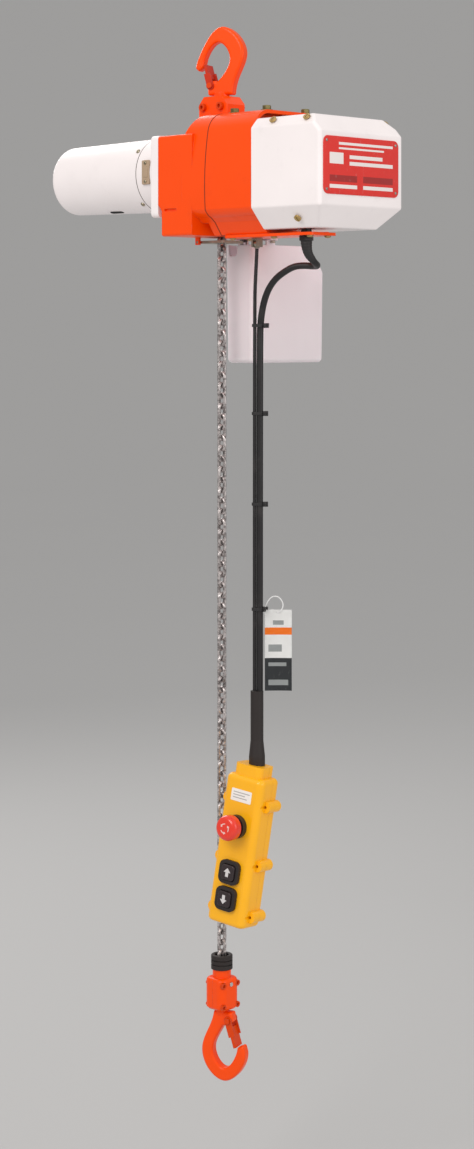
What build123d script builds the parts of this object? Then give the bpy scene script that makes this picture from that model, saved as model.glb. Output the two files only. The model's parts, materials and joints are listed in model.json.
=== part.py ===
from build123d import *
import math
import os

os.makedirs("parts", exist_ok=True)

# Electric chain hoist, millimetres.
# Origin: the point of the top hook that rests on its support.  +Z is up, +X runs from the
# motor to the control cover, -Y is the front.  The lifting fall of the chain is the Z axis.

# ---------------------------------------------------------------- driving dimensions
CHAIN_WIRE = 4.0
CHAIN_PITCH = 12.0
CHAIN_SLACK = 0.3
CHAIN_INNER_WIDTH = 5.0
POCKETS = 5
WRAP_RADIUS = 18.4

SHAFT_Z = -145.0
SHAFT_Y = WRAP_RADIUS

BRACKET_X = (-40.0, 36.0)
CASE_X = (36.2, 108.0)
COVER_X = (108.3, 210.0)
FRONT_Y = -62.0
BACK_Y = 72.0
SHOULDER_Z = -86.0
BLOCK_TOP_Z = -108.0
BODY_BOTTOM_Z = -222.0
WALL = 4.0

MOTOR_END_X = -282.0
MOTOR_RADIUS = 44.0
MOTOR_TIP_RADIUS = 41.5
FLANGE_X = (-52.0, -40.3)

CONTAINER_X = (-23.0, 23.0)
CONTAINER_Y = (27.0, 149.0)
CONTAINER_Z = (-366.0, -230.0)

HOOK_TURN = 20.0
HOOK_THICK = 14.0
SHANK_RADIUS = 9.0
YOKE_TOP_Z = -62.0
YOKE_BOTTOM_Z = -104.0

BLOCK_TOP = -1041.0
BUMPER_LENGTH = 16.0
BUMPER_RADIUS = 12.3
BLOCK_LENGTH = 45.0

LINE_X = 72.0
LINE_Y = -16.0
CABLE_DIAMETER = 7.4
WIRE_DIAMETER = 4.0
PENDANT_TOP = (70.5, -17.5, -812.0)
PENDANT_LENGTH = 178.0
PENDANT_WIDTH = 50.0
PENDANT_DEPTH = 37.0
PENDANT_TURN = 10.0
PENDANT_LEAN = 8.0

RUNNING = 0.05
GAP = 0.3

# ---------------------------------------------------------------- frames of reference
turn = math.radians(HOOK_TURN)
top_hook_plane = Plane(
    origin=(0, 0, 0), x_dir=(math.cos(turn), math.sin(turn), 0), z_dir=(math.sin(turn), -math.cos(turn), 0)
)
load_hook_plane = Plane(
    origin=(0, 0, BLOCK_TOP),
    x_dir=(math.cos(turn), math.sin(turn), 0),
    z_dir=(math.sin(turn), -math.cos(turn), 0),
)
shaft_plane = Plane(origin=(0, SHAFT_Y, SHAFT_Z), x_dir=(0, 1, 0), z_dir=(1, 0, 0))
side_plane = Plane(origin=(0, 0, 0), x_dir=(0, 1, 0), z_dir=(1, 0, 0))
front_plane = Plane(origin=(0, 0, 0), x_dir=(1, 0, 0), z_dir=(0, -1, 0))
pendant_turn = math.radians(PENDANT_TURN)
pendant_lean = math.radians(PENDANT_LEAN)
lean_side = math.sin(pendant_lean) / math.sqrt(2)
pendant_plane = Plane(
    origin=PENDANT_TOP,
    x_dir=(math.cos(pendant_turn), math.sin(pendant_turn), 0),
    z_dir=(lean_side, lean_side, math.cos(pendant_lean)),
)
pendant_face = Plane(
    origin=pendant_plane.origin - pendant_plane.y_dir * (PENDANT_DEPTH / 2),
    x_dir=pendant_plane.x_dir,
    z_dir=-pendant_plane.y_dir,
)

# ================================================================ suspension hook
HOOK_TOP = 18.0
HOOK_BASE_Z = -60.0
HOOK_ROUND = 3.5
HOOK_CORNER = 2.0
LATCH_PIVOT = (-11.0, -49.0)
LATCH_PIN_RADIUS = 2.0
COLLAR_RADIUS = 13.0
COLLAR_Z = (-98.0, -91.0)

with BuildPart() as suspension_hook:
    with BuildSketch(top_hook_plane.offset(-HOOK_THICK / 2)) as hook_outline:
        with BuildLine():
            back = Spline((16, HOOK_BASE_Z), (20.5, -40), (30, -10), (2, HOOK_TOP), (-21, -4), (-31, -28))
            tip = Polyline(back @ 1, (-27, -32), (-20, -28))
            throat = Spline(tip @ 1, (-17.5, -14), (-2, 0), (12, -17), (6, -34), (-3, -44))
            Polyline(throat @ 1, (-11, -43), (-16, -48), (-15, HOOK_BASE_Z), back @ 0)
        make_face()
        fillet(hook_outline.vertices(), HOOK_CORNER)
    extrude(amount=HOOK_THICK)
    hook_depth = Axis((0, 0, 0), top_hook_plane.z_dir)
    fillet(suspension_hook.faces().sort_by(hook_depth)[0].edges(), HOOK_ROUND)
    fillet(suspension_hook.faces().sort_by(hook_depth)[-1].edges(), HOOK_ROUND)
    with BuildSketch(Plane.XY.offset(COLLAR_Z[1])):
        Circle(SHANK_RADIUS)
    extrude(amount=HOOK_BASE_Z + 3 - COLLAR_Z[1])
    with BuildSketch(Plane.XY.offset(COLLAR_Z[0])):
        Circle(COLLAR_RADIUS)
    extrude(amount=COLLAR_Z[1] - COLLAR_Z[0])
    with BuildSketch(top_hook_plane.offset(-HOOK_THICK)):
        with Locations(LATCH_PIVOT):
            Circle(LATCH_PIN_RADIUS + RUNNING)
    extrude(amount=2 * HOOK_THICK, mode=Mode.SUBTRACT)
suspension_hook.part.label = "suspension_hook"


def latch_block(plane, pivot, tip_distance, tip_angle, across):
    """Sheet latch: two ears on the pin and a web that reaches the hook's tip."""
    ear_radius = 4.6
    ear_gap = across / 2 + GAP
    sheet = 1.6
    web_start = 8.2
    direction = math.radians(tip_angle)
    along = (math.cos(direction), math.sin(direction))
    with BuildPart() as latch:
        for side in (-1, 1):
            inner = side * ear_gap if side > 0 else side * ear_gap - sheet
            with BuildSketch(plane.offset(inner)):
                with Locations(pivot):
                    Circle(ear_radius)
                middle = (pivot[0] + along[0] * tip_distance * 0.3, pivot[1] + along[1] * tip_distance * 0.3)
                with Locations(Location((middle[0], middle[1], 0), (0, 0, tip_angle))):
                    Rectangle(tip_distance * 0.6, 1.7 * ear_radius)
                with Locations(pivot):
                    Circle(LATCH_PIN_RADIUS + RUNNING, mode=Mode.SUBTRACT)
            extrude(amount=sheet)
        web_middle = (web_start + tip_distance) / 2
        web_place = (pivot[0] + along[0] * web_middle, pivot[1] + along[1] * web_middle)
        with BuildSketch(plane.offset(-ear_gap - sheet)):
            with Locations(Location((web_place[0], web_place[1], 0), (0, 0, tip_angle))):
                Rectangle(tip_distance - web_start, 2 * sheet)
        extrude(amount=2 * (ear_gap + sheet))
    return latch


def latch_pin_block(plane, pivot, across):
    """Headed latch pin that is a running fit in the hook and in the latch's ears."""
    length = across + 6.5
    with BuildPart() as pin:
        with BuildSketch(plane.offset(-length / 2)):
            with Locations(pivot):
                Circle(LATCH_PIN_RADIUS)
        extrude(amount=length)
        with BuildSketch(plane.offset(length / 2)):
            with Locations(pivot):
                Circle(LATCH_PIN_RADIUS + 1.2)
        extrude(amount=1.2)
    return pin


LATCH_LENGTH = 24.5
LATCH_ANGLE = 105.0
top_latch = latch_block(top_hook_plane, LATCH_PIVOT, LATCH_LENGTH, LATCH_ANGLE, HOOK_THICK)
top_latch.part.label = "top_latch"
top_latch_pin = latch_pin_block(top_hook_plane, LATCH_PIVOT, HOOK_THICK)
top_latch_pin.part.label = "top_latch_pin"

# ================================================================ yoke between hook and castings
YOKE_DEPTH = 30.0
YOKE_TOP_WIDTH = 28.0
YOKE_SHOULDER_WIDTH = 46.0
YOKE_STEM = 32.0
YOKE_BOLT_RADIUS = 2.5
YOKE_BOLT_X = 14.0
YOKE_BOLT_Z = -74.0

with BuildPart() as hook_yoke:
    with BuildSketch(front_plane.offset(-YOKE_DEPTH / 2)):
        Polygon(
            (-YOKE_TOP_WIDTH / 2, YOKE_TOP_Z),
            (YOKE_TOP_WIDTH / 2, YOKE_TOP_Z),
            (YOKE_SHOULDER_WIDTH / 2, YOKE_TOP_Z - 10),
            (YOKE_SHOULDER_WIDTH / 2, SHOULDER_Z + GAP),
            (YOKE_STEM / 2, SHOULDER_Z + GAP),
            (YOKE_STEM / 2, YOKE_BOTTOM_Z),
            (-YOKE_STEM / 2, YOKE_BOTTOM_Z),
            (-YOKE_STEM / 2, SHOULDER_Z + GAP),
            (-YOKE_SHOULDER_WIDTH / 2, SHOULDER_Z + GAP),
            (-YOKE_SHOULDER_WIDTH / 2, YOKE_TOP_Z - 10),
            align=None,
        )
    extrude(amount=YOKE_DEPTH)
    fillet(hook_yoke.edges().filter_by(Axis.Z), 2)
    with BuildSketch(Plane.XY.offset(YOKE_TOP_Z + 1)):
        Circle(SHANK_RADIUS + RUNNING)
    extrude(amount=-60, mode=Mode.SUBTRACT)
    with BuildSketch(Plane.XY.offset(COLLAR_Z[1] + RUNNING)):
        Circle(COLLAR_RADIUS + GAP)
    extrude(amount=-30, mode=Mode.SUBTRACT)
    with BuildSketch(front_plane.offset(-YOKE_DEPTH)):
        with Locations((-YOKE_BOLT_X, YOKE_BOLT_Z), (YOKE_BOLT_X, YOKE_BOLT_Z)):
            Circle(YOKE_BOLT_RADIUS + GAP / 2)
    extrude(amount=2 * YOKE_DEPTH, mode=Mode.SUBTRACT)
hook_yoke.part.label = "hook_yoke"

with BuildPart() as yoke_bolts:
    with BuildSketch(front_plane.offset(-YOKE_DEPTH / 2 - 2)):
        with Locations((-YOKE_BOLT_X, YOKE_BOLT_Z), (YOKE_BOLT_X, YOKE_BOLT_Z)):
            Circle(YOKE_BOLT_RADIUS)
    extrude(amount=YOKE_DEPTH + 2)
    with BuildSketch(front_plane.offset(YOKE_DEPTH / 2)):
        with Locations((-YOKE_BOLT_X, YOKE_BOLT_Z), (YOKE_BOLT_X, YOKE_BOLT_Z)):
            Circle(1.8 * YOKE_BOLT_RADIUS)
            RegularPolygon(YOKE_BOLT_RADIUS, 6, mode=Mode.SUBTRACT)
    extrude(amount=4)
    with BuildSketch(front_plane.offset(YOKE_DEPTH / 2)):
        with Locations((-YOKE_BOLT_X, YOKE_BOLT_Z), (YOKE_BOLT_X, YOKE_BOLT_Z)):
            Circle(YOKE_BOLT_RADIUS + 0.5)
    extrude(amount=1)
    with BuildSketch(front_plane.offset(-YOKE_DEPTH / 2 - 4)):
        with Locations((-YOKE_BOLT_X, YOKE_BOLT_Z), (YOKE_BOLT_X, YOKE_BOLT_Z)):
            RegularPolygon(1.8 * YOKE_BOLT_RADIUS, 6)
    extrude(amount=4)
yoke_bolts.part.label = "yoke_bolts"

# ================================================================ load chain
LINK_BEND = (CHAIN_INNER_WIDTH + CHAIN_WIRE) / 2
LINK_STRAIGHT = CHAIN_PITCH + CHAIN_SLACK - CHAIN_INNER_WIDTH
LAST_LINK = 77

with BuildPart() as chain_link:
    with BuildLine(Plane.YZ):
        side_a = Line((LINK_BEND, -LINK_STRAIGHT / 2), (LINK_BEND, LINK_STRAIGHT / 2))
        top_arc = ThreePointArc(side_a @ 1, (0, LINK_STRAIGHT / 2 + LINK_BEND), (-LINK_BEND, LINK_STRAIGHT / 2))
        side_b = Line(top_arc @ 1, (-LINK_BEND, -LINK_STRAIGHT / 2))
        ThreePointArc(side_b @ 1, (0, -LINK_STRAIGHT / 2 - LINK_BEND), side_a @ 0)
    with BuildSketch(Plane(origin=(0, LINK_BEND, 0), z_dir=(0, 0, 1))):
        Circle(CHAIN_WIRE / 2)
    sweep()


def wrap_place(index):
    """Location of a link on the load sheave, counted from the lifting fall."""
    angle = index * 180 / POCKETS
    y = SHAFT_Y - WRAP_RADIUS * math.cos(math.radians(angle))
    z = SHAFT_Z + WRAP_RADIUS * math.sin(math.radians(angle))
    return Location((0, y, z), (-angle, 0, 0)) * Location((0, 0, 0), (0, 0, 90 * ((index + 1) % 2)))


lifting_fall = [
    Location((0, 0, SHAFT_Z - CHAIN_PITCH * link), (0, 0, 90 * ((link + 1) % 2))) for link in range(LAST_LINK + 1)
]
FALL_SPLIT = 8
with BuildPart() as load_chain:
    with Locations(*lifting_fall[FALL_SPLIT:]):
        add(chain_link.part)
load_chain.part.label = "load_chain"

SLACK_LINKS = 12
slack_fall = [
    Location((0, SHAFT_Y + WRAP_RADIUS, SHAFT_Z - CHAIN_PITCH * link), (0, 0, 90 * (link % 2)))
    for link in range(1, SLACK_LINKS)
]
with BuildPart() as chain_on_sheave:
    with Locations(*lifting_fall[:FALL_SPLIT]):
        add(chain_link.part)
    with Locations(*[wrap_place(index) for index in range(1, POCKETS + 1)]):
        add(chain_link.part)
    with Locations(*slack_fall):
        add(chain_link.part)
chain_on_sheave.part.label = "chain_on_sheave"

STOW_ROWS = (-13.6, 0.0, 13.6)
STOW_LAYERS = 3
STOW_LINKS = 8
STOW_RISE = 10.5
stow_places = []
for layer in range(STOW_LAYERS):
    for row in STOW_ROWS:
        for link in range(STOW_LINKS):
            lift = CONTAINER_Z[0] + 3.1 + LINK_BEND + STOW_RISE * layer
            run = CONTAINER_Y[0] + 16 + CHAIN_PITCH * link
            twist = 45 + 90 * (link % 2)
            place = Location((row, run, lift), (90, 0, 0)) * Location((0, 0, 0), (0, 0, twist))
            stow_places.append(place)
with BuildPart() as stowed_chain:
    with Locations(*stow_places):
        add(chain_link.part)
stowed_chain.part.label = "stowed_chain"

# ================================================================ load sheave and gear train
SHEAVE_HALF = 11.0
SHEAVE_RADIUS = 20.6
GROOVE_HALF = 2.6
HUB_RADIUS = 8.5
GEAR_SEAT_RADIUS = 8.0
SHAFT_RADIUS = 4.0
POCKET_RELIEF = 1.2
POCKET_FLOOR = WRAP_RADIUS - CHAIN_WIRE / 2 - POCKET_RELIEF
POCKET_WIDTH = CHAIN_INNER_WIDTH + 2 * CHAIN_WIRE + 2 * GAP
POCKET_LENGTH = CHAIN_PITCH + CHAIN_SLACK + 2 * CHAIN_WIRE + 4 * GAP
LOAD_GEAR_X = 40.0
LOAD_GEAR_WIDTH = 12.0
BIG_GEAR_X = 62.0
BIG_GEAR_WIDTH = 9.0
GEAR_MODULE = 1.25
MOTOR_PINION_TEETH = 13
BIG_GEAR_TEETH = 57
SMALL_PINION_TEETH = 14
LOAD_GEAR_TEETH = 56
CENTRE_DISTANCE = GEAR_MODULE * (MOTOR_PINION_TEETH + BIG_GEAR_TEETH) / 2
LAYSHAFT_ANGLE = 215.0
LAYSHAFT_Y = SHAFT_Y + CENTRE_DISTANCE * math.cos(math.radians(LAYSHAFT_ANGLE))
LAYSHAFT_Z = SHAFT_Z + CENTRE_DISTANCE * math.sin(math.radians(LAYSHAFT_ANGLE))
layshaft_plane = Plane(origin=(0, LAYSHAFT_Y, LAYSHAFT_Z), x_dir=(0, 1, 0), z_dir=(1, 0, 0))

with BuildPart() as load_sheave:
    with BuildSketch(front_plane.offset(-SHAFT_Y)):
        with BuildLine():
            Polyline(
                (-26, SHAFT_Z + SHAFT_RADIUS + 1),
                (-26, SHAFT_Z + HUB_RADIUS),
                (-SHEAVE_HALF - 3, SHAFT_Z + HUB_RADIUS),
                (-SHEAVE_HALF, SHAFT_Z + SHEAVE_RADIUS),
                (-GROOVE_HALF, SHAFT_Z + SHEAVE_RADIUS),
                (-GROOVE_HALF, SHAFT_Z + WRAP_RADIUS - 7),
                (GROOVE_HALF, SHAFT_Z + WRAP_RADIUS - 7),
                (GROOVE_HALF, SHAFT_Z + SHEAVE_RADIUS),
                (SHEAVE_HALF, SHAFT_Z + SHEAVE_RADIUS),
                (SHEAVE_HALF + 3, SHAFT_Z + HUB_RADIUS),
                (27, SHAFT_Z + HUB_RADIUS),
                (27, SHAFT_Z + GEAR_SEAT_RADIUS),
                (LOAD_GEAR_X + LOAD_GEAR_WIDTH + 3, SHAFT_Z + GEAR_SEAT_RADIUS),
                (LOAD_GEAR_X + LOAD_GEAR_WIDTH + 3, SHAFT_Z + SHAFT_RADIUS + 1),
                close=True,
            )
        make_face()
    revolve(axis=Axis((0, SHAFT_Y, SHAFT_Z), (1, 0, 0)))
    for pocket in range(POCKETS):
        around = Plane(shaft_plane.location * Location((0, 0, 0), (0, 0, 180 - 72 * pocket)))
        with BuildSketch(around.offset(-POCKET_WIDTH / 2)):
            with Locations((POCKET_FLOOR + 5, 0)):
                Rectangle(10, POCKET_LENGTH)
        extrude(amount=POCKET_WIDTH, mode=Mode.SUBTRACT)
load_sheave.part.label = "load_sheave"


def gear_block(plane, start, width, teeth, bore, phase, boss=None):
    """Spur gear on a plane's normal: involute flanks as arcs, with backlash."""
    pitch_radius = GEAR_MODULE * teeth / 2
    base_radius = pitch_radius * math.cos(math.radians(20))
    tip_radius = pitch_radius + 0.85 * GEAR_MODULE
    root_radius = pitch_radius - 1.25 * GEAR_MODULE
    flank_foot = max(base_radius, root_radius + 0.2)
    backlash = 0.18 * GEAR_MODULE

    def half_angle(radius):
        pressure = math.acos(min(1.0, base_radius / radius))
        at_pitch = math.tan(math.radians(20)) - math.radians(20)
        half_tooth = (math.pi / 2 * GEAR_MODULE - backlash) / 2 / pitch_radius
        return half_tooth + at_pitch - (math.tan(pressure) - pressure)

    def flank_point(radius, centre, side):
        angle = centre + side * half_angle(radius)
        return (radius * math.cos(angle), radius * math.sin(angle))

    with BuildPart() as gear:
        with BuildSketch(plane.offset(start)):
            Circle(root_radius)
            for tooth in range(teeth):
                centre = 2 * math.pi * (tooth + phase) / teeth
                middle = (flank_foot + tip_radius) / 2
                deep = root_radius - 0.3
                foot = half_angle(flank_foot)
                low_left = (deep * math.cos(centre - foot), deep * math.sin(centre - foot))
                low_right = (deep * math.cos(centre + foot), deep * math.sin(centre + foot))
                with BuildLine():
                    left = ThreePointArc(
                        flank_point(flank_foot, centre, -1),
                        flank_point(middle, centre, -1),
                        flank_point(tip_radius, centre, -1),
                    )
                    top = Line(left @ 1, flank_point(tip_radius, centre, 1))
                    right = ThreePointArc(
                        top @ 1, flank_point(middle, centre, 1), flank_point(flank_foot, centre, 1)
                    )
                    Polyline(right @ 1, low_right, low_left, left @ 0)
                make_face()
            Circle(bore, mode=Mode.SUBTRACT)
        extrude(amount=width)
        if boss:
            for boss_start, boss_end, boss_radius in boss:
                with BuildSketch(plane.offset(boss_start)):
                    Circle(boss_radius)
                    Circle(bore, mode=Mode.SUBTRACT)
                extrude(amount=boss_end - boss_start)
    return gear


# A tooth of each small pinion points along the centre line, and a gap of each big gear meets it.
def mesh_phase(teeth, angle, tooth_on_line):
    """Tooth offset that puts a tooth or a gap of the gear on the line at the given angle."""
    turns = angle / 360 * teeth
    return turns if tooth_on_line else turns + 0.5


load_gear = gear_block(
    shaft_plane, LOAD_GEAR_X, LOAD_GEAR_WIDTH, LOAD_GEAR_TEETH, GEAR_SEAT_RADIUS,
    mesh_phase(LOAD_GEAR_TEETH, LAYSHAFT_ANGLE, False),
)
load_gear.part.label = "load_gear"

LAYSHAFT_RADIUS = 5.0
big_gear = gear_block(
    layshaft_plane, BIG_GEAR_X, BIG_GEAR_WIDTH, BIG_GEAR_TEETH, LAYSHAFT_RADIUS,
    mesh_phase(BIG_GEAR_TEETH, LAYSHAFT_ANGLE - 180, False),
)
big_gear.part.label = "big_gear"
layshaft_pinion = gear_block(
    layshaft_plane, LOAD_GEAR_X - 1, LOAD_GEAR_WIDTH + 2, SMALL_PINION_TEETH, 0.5,
    mesh_phase(SMALL_PINION_TEETH, LAYSHAFT_ANGLE - 180, True),
    boss=[(38.5, 39, 7), (53, 57, 7), (57, 88, LAYSHAFT_RADIUS), (30, 38.5, LAYSHAFT_RADIUS)],
)
layshaft_pinion.part.label = "layshaft_pinion"

ROTOR_SHAFT_X = (-266.0, 92.0)
PINION_X = 60.0
PINION_WIDTH = 13.0
rotor_shaft = gear_block(
    shaft_plane, PINION_X, PINION_WIDTH, MOTOR_PINION_TEETH, 0.5,
    mesh_phase(MOTOR_PINION_TEETH, LAYSHAFT_ANGLE, True),
    boss=[
        (ROTOR_SHAFT_X[0], PINION_X, SHAFT_RADIUS),
        (PINION_X + PINION_WIDTH, ROTOR_SHAFT_X[1], SHAFT_RADIUS),
    ],
)
rotor_shaft.part.label = "rotor_shaft"

# ================================================================ motor
CORE_X = (-215.0, -105.0)
CORE_RADIUS = 30.0
MAGNET_RADII = (31.0, 39.0)
SLOTS = 12

with BuildPart() as rotor_core:
    with BuildSketch(shaft_plane.offset(CORE_X[0])):
        Circle(CORE_RADIUS)
        Circle(SHAFT_RADIUS, mode=Mode.SUBTRACT)
        with PolarLocations(CORE_RADIUS - 5, SLOTS):
            SlotCenterToCenter(7, 3, mode=Mode.SUBTRACT)
        with PolarLocations(CORE_RADIUS, SLOTS):
            Rectangle(4, 1.6, mode=Mode.SUBTRACT)
    extrude(amount=CORE_X[1] - CORE_X[0])
rotor_core.part.label = "rotor_core"

with BuildPart() as commutator:
    with BuildSketch(shaft_plane.offset(CORE_X[0] - 26)):
        Circle(14)
        Circle(SHAFT_RADIUS, mode=Mode.SUBTRACT)
        with PolarLocations(14, 2 * SLOTS):
            Rectangle(3, 0.6, mode=Mode.SUBTRACT)
    extrude(amount=20)
commutator.part.label = "commutator"

with BuildPart() as cooling_fan:
    with BuildSketch(shaft_plane.offset(-98)):
        Circle(12)
        Circle(SHAFT_RADIUS, mode=Mode.SUBTRACT)
    extrude(amount=14)
    with BuildSketch(shaft_plane.offset(-98)):
        with PolarLocations(20, 8):
            Rectangle(22, 2, rotation=12)
        Circle(8, mode=Mode.SUBTRACT)
    extrude(amount=12)
    with BuildSketch(shaft_plane.offset(-86)):
        Circle(32)
        Circle(10, mode=Mode.SUBTRACT)
    extrude(amount=2)
cooling_fan.part.label = "cooling_fan"

with BuildPart() as field_magnets:
    with BuildSketch(shaft_plane.offset(CORE_X[0] + 5)):
        Circle(MAGNET_RADII[1])
        Circle(MAGNET_RADII[0], mode=Mode.SUBTRACT)
        Rectangle(200, 12, mode=Mode.SUBTRACT)
    extrude(amount=CORE_X[1] - CORE_X[0] - 10)
field_magnets.part.label = "field_magnets"

with BuildPart() as carbon_brushes:
    for side in (0, 180):
        brush_plane = Plane(shaft_plane.location * Location((0, 0, CORE_X[0] - 16), (0, 0, side)))
        with BuildSketch(Plane(origin=brush_plane.origin + brush_plane.x_dir * 14.3, z_dir=brush_plane.x_dir)):
            Rectangle(6, 9)
        extrude(amount=16)
carbon_brushes.part.label = "carbon_brushes"

BELL_X = -117.0
BELL_RADIUS = 44.5
PLATE_Z = (-200.0, -107.0)
BEARING_BOSS = 11.0

with BuildPart() as motor_flange:
    with BuildSketch(side_plane.offset(FLANGE_X[0])):
        with Locations(((FRONT_Y + 66) / 2, sum(PLATE_Z) / 2)):
            RectangleRounded(66 - FRONT_Y, PLATE_Z[1] - PLATE_Z[0], 5)
    extrude(amount=FLANGE_X[1] - FLANGE_X[0])
    with BuildSketch(shaft_plane.offset(BELL_X)):
        Circle(BELL_RADIUS)
    extrude(amount=FLANGE_X[0] - BELL_X + 1)
    with BuildSketch(shaft_plane.offset(BELL_X - 1)):
        Circle(BELL_RADIUS - 3.5)
    extrude(amount=200, mode=Mode.SUBTRACT)
    with BuildSketch(Plane(origin=(-100, SHAFT_Y - BELL_RADIUS, SHAFT_Z + 1), x_dir=(1, 0, 0), z_dir=(0, -1, 0))):
        RectangleRounded(13, 29, 1.5)
    extrude(amount=-1.8, both=True, mode=Mode.SUBTRACT)
motor_flange.part.label = "motor_flange"

TUBE_WALL = 3.0
END_CHAMFER = 11.0
END_ROUND = 7.0
with BuildPart() as motor_tube:
    with BuildSketch(front_plane.offset(-SHAFT_Y)) as tube_profile:
        with BuildLine():
            Polyline(
                (BELL_X - 0.2, SHAFT_Z + MOTOR_RADIUS - TUBE_WALL),
                (BELL_X - 0.2, SHAFT_Z + MOTOR_RADIUS),
                (MOTOR_END_X + END_CHAMFER, SHAFT_Z + MOTOR_TIP_RADIUS),
                (MOTOR_END_X, SHAFT_Z + MOTOR_TIP_RADIUS - END_CHAMFER),
                (MOTOR_END_X, SHAFT_Z),
                (MOTOR_END_X + TUBE_WALL, SHAFT_Z),
                (MOTOR_END_X + TUBE_WALL, SHAFT_Z + BEARING_BOSS),
                (MOTOR_END_X + 28, SHAFT_Z + BEARING_BOSS),
                (MOTOR_END_X + 28, SHAFT_Z + BEARING_BOSS + 3),
                (MOTOR_END_X + TUBE_WALL, SHAFT_Z + BEARING_BOSS + 5),
                (MOTOR_END_X + TUBE_WALL, SHAFT_Z + MOTOR_TIP_RADIUS - 14),
                (MOTOR_END_X + 14, SHAFT_Z + MOTOR_TIP_RADIUS - TUBE_WALL),
                close=True,
            )
        make_face()
        corner = tube_profile.vertices().sort_by_distance(
            (MOTOR_END_X, SHAFT_Y, SHAFT_Z + MOTOR_TIP_RADIUS - END_CHAMFER)
        )
        fillet(corner[0], END_ROUND)
        rim = tube_profile.vertices().sort_by_distance(
            (MOTOR_END_X + END_CHAMFER, SHAFT_Y, SHAFT_Z + MOTOR_TIP_RADIUS)
        )
        fillet(rim[0], END_ROUND)
    revolve(axis=Axis((0, SHAFT_Y, SHAFT_Z), (1, 0, 0)))
motor_tube.part.label = "motor_tube"

with BuildPart() as brake_coil:
    with BuildSketch(shaft_plane.offset(-44)):
        Circle(32)
        Circle(10, mode=Mode.SUBTRACT)
    extrude(amount=13.6)
    with BuildSketch(shaft_plane.offset(-44)):
        Circle(26)
        Circle(16, mode=Mode.SUBTRACT)
    extrude(amount=3, mode=Mode.SUBTRACT)
brake_coil.part.label = "brake_coil"

with BuildPart() as brake_disc:
    with BuildSketch(shaft_plane.offset(-51)):
        Circle(30)
        Circle(SHAFT_RADIUS, mode=Mode.SUBTRACT)
    extrude(amount=5.5)
    with BuildSketch(shaft_plane.offset(-57)):
        Circle(9)
        Circle(SHAFT_RADIUS, mode=Mode.SUBTRACT)
    extrude(amount=6)
brake_disc.part.label = "brake_disc"

# ================================================================ castings
SKIRT_Z = -206.0
GLAND_PLACE = (155.0, -24.0)
ANCHOR_PLACE = (LINE_X, LINE_Y)
ANCHOR_STUD_RADIUS = 2.0


def casting_section():
    """Rounded front and stepped skirt that both castings share, as seen along the shaft."""
    with BuildSketch(Plane.XY, mode=Mode.PRIVATE) as section:
        with BuildLine():
            crown = ThreePointArc((-36, SHOULDER_Z), (-50, -93), (-57, -106))
            belly = ThreePointArc(crown @ 1, (FRONT_Y, -150), (-61.5, -194))
            step = ThreePointArc(belly @ 1, (-57, -200), (-52, -203))
            skirt = Polyline(
                step @ 1, (-46, SKIRT_Z - 2), (-36, BODY_BOTTOM_Z), (60, BODY_BOTTOM_Z), (BACK_Y, SKIRT_Z)
            )
            back = Line(skirt @ 1, (BACK_Y, -112))
            rear_crown = ThreePointArc(back @ 1, (65, -94), (50, SHOULDER_Z))
            Line(rear_crown @ 1, crown @ 0)
        make_face()
    return section.sketch


casting_face = casting_section()

CASTING_BOLTS = [(-47, -114), (58, -112), (-53, -188), (56, -205)]
BEARING_OUTER = 16.0
LAYSHAFT_BEARING_OUTER = 9.0
ROTOR_BEARING_OUTER = 8.0
SHEAVE_CAVITY = 15.0
CHAIN_OPENING_Y = (-9.0, 46.0)
FOOT_X = 15.0
NOTCH_X = (15.0, 25.0)
LEVER_PIVOT = (-26.0, -227.5)

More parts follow.
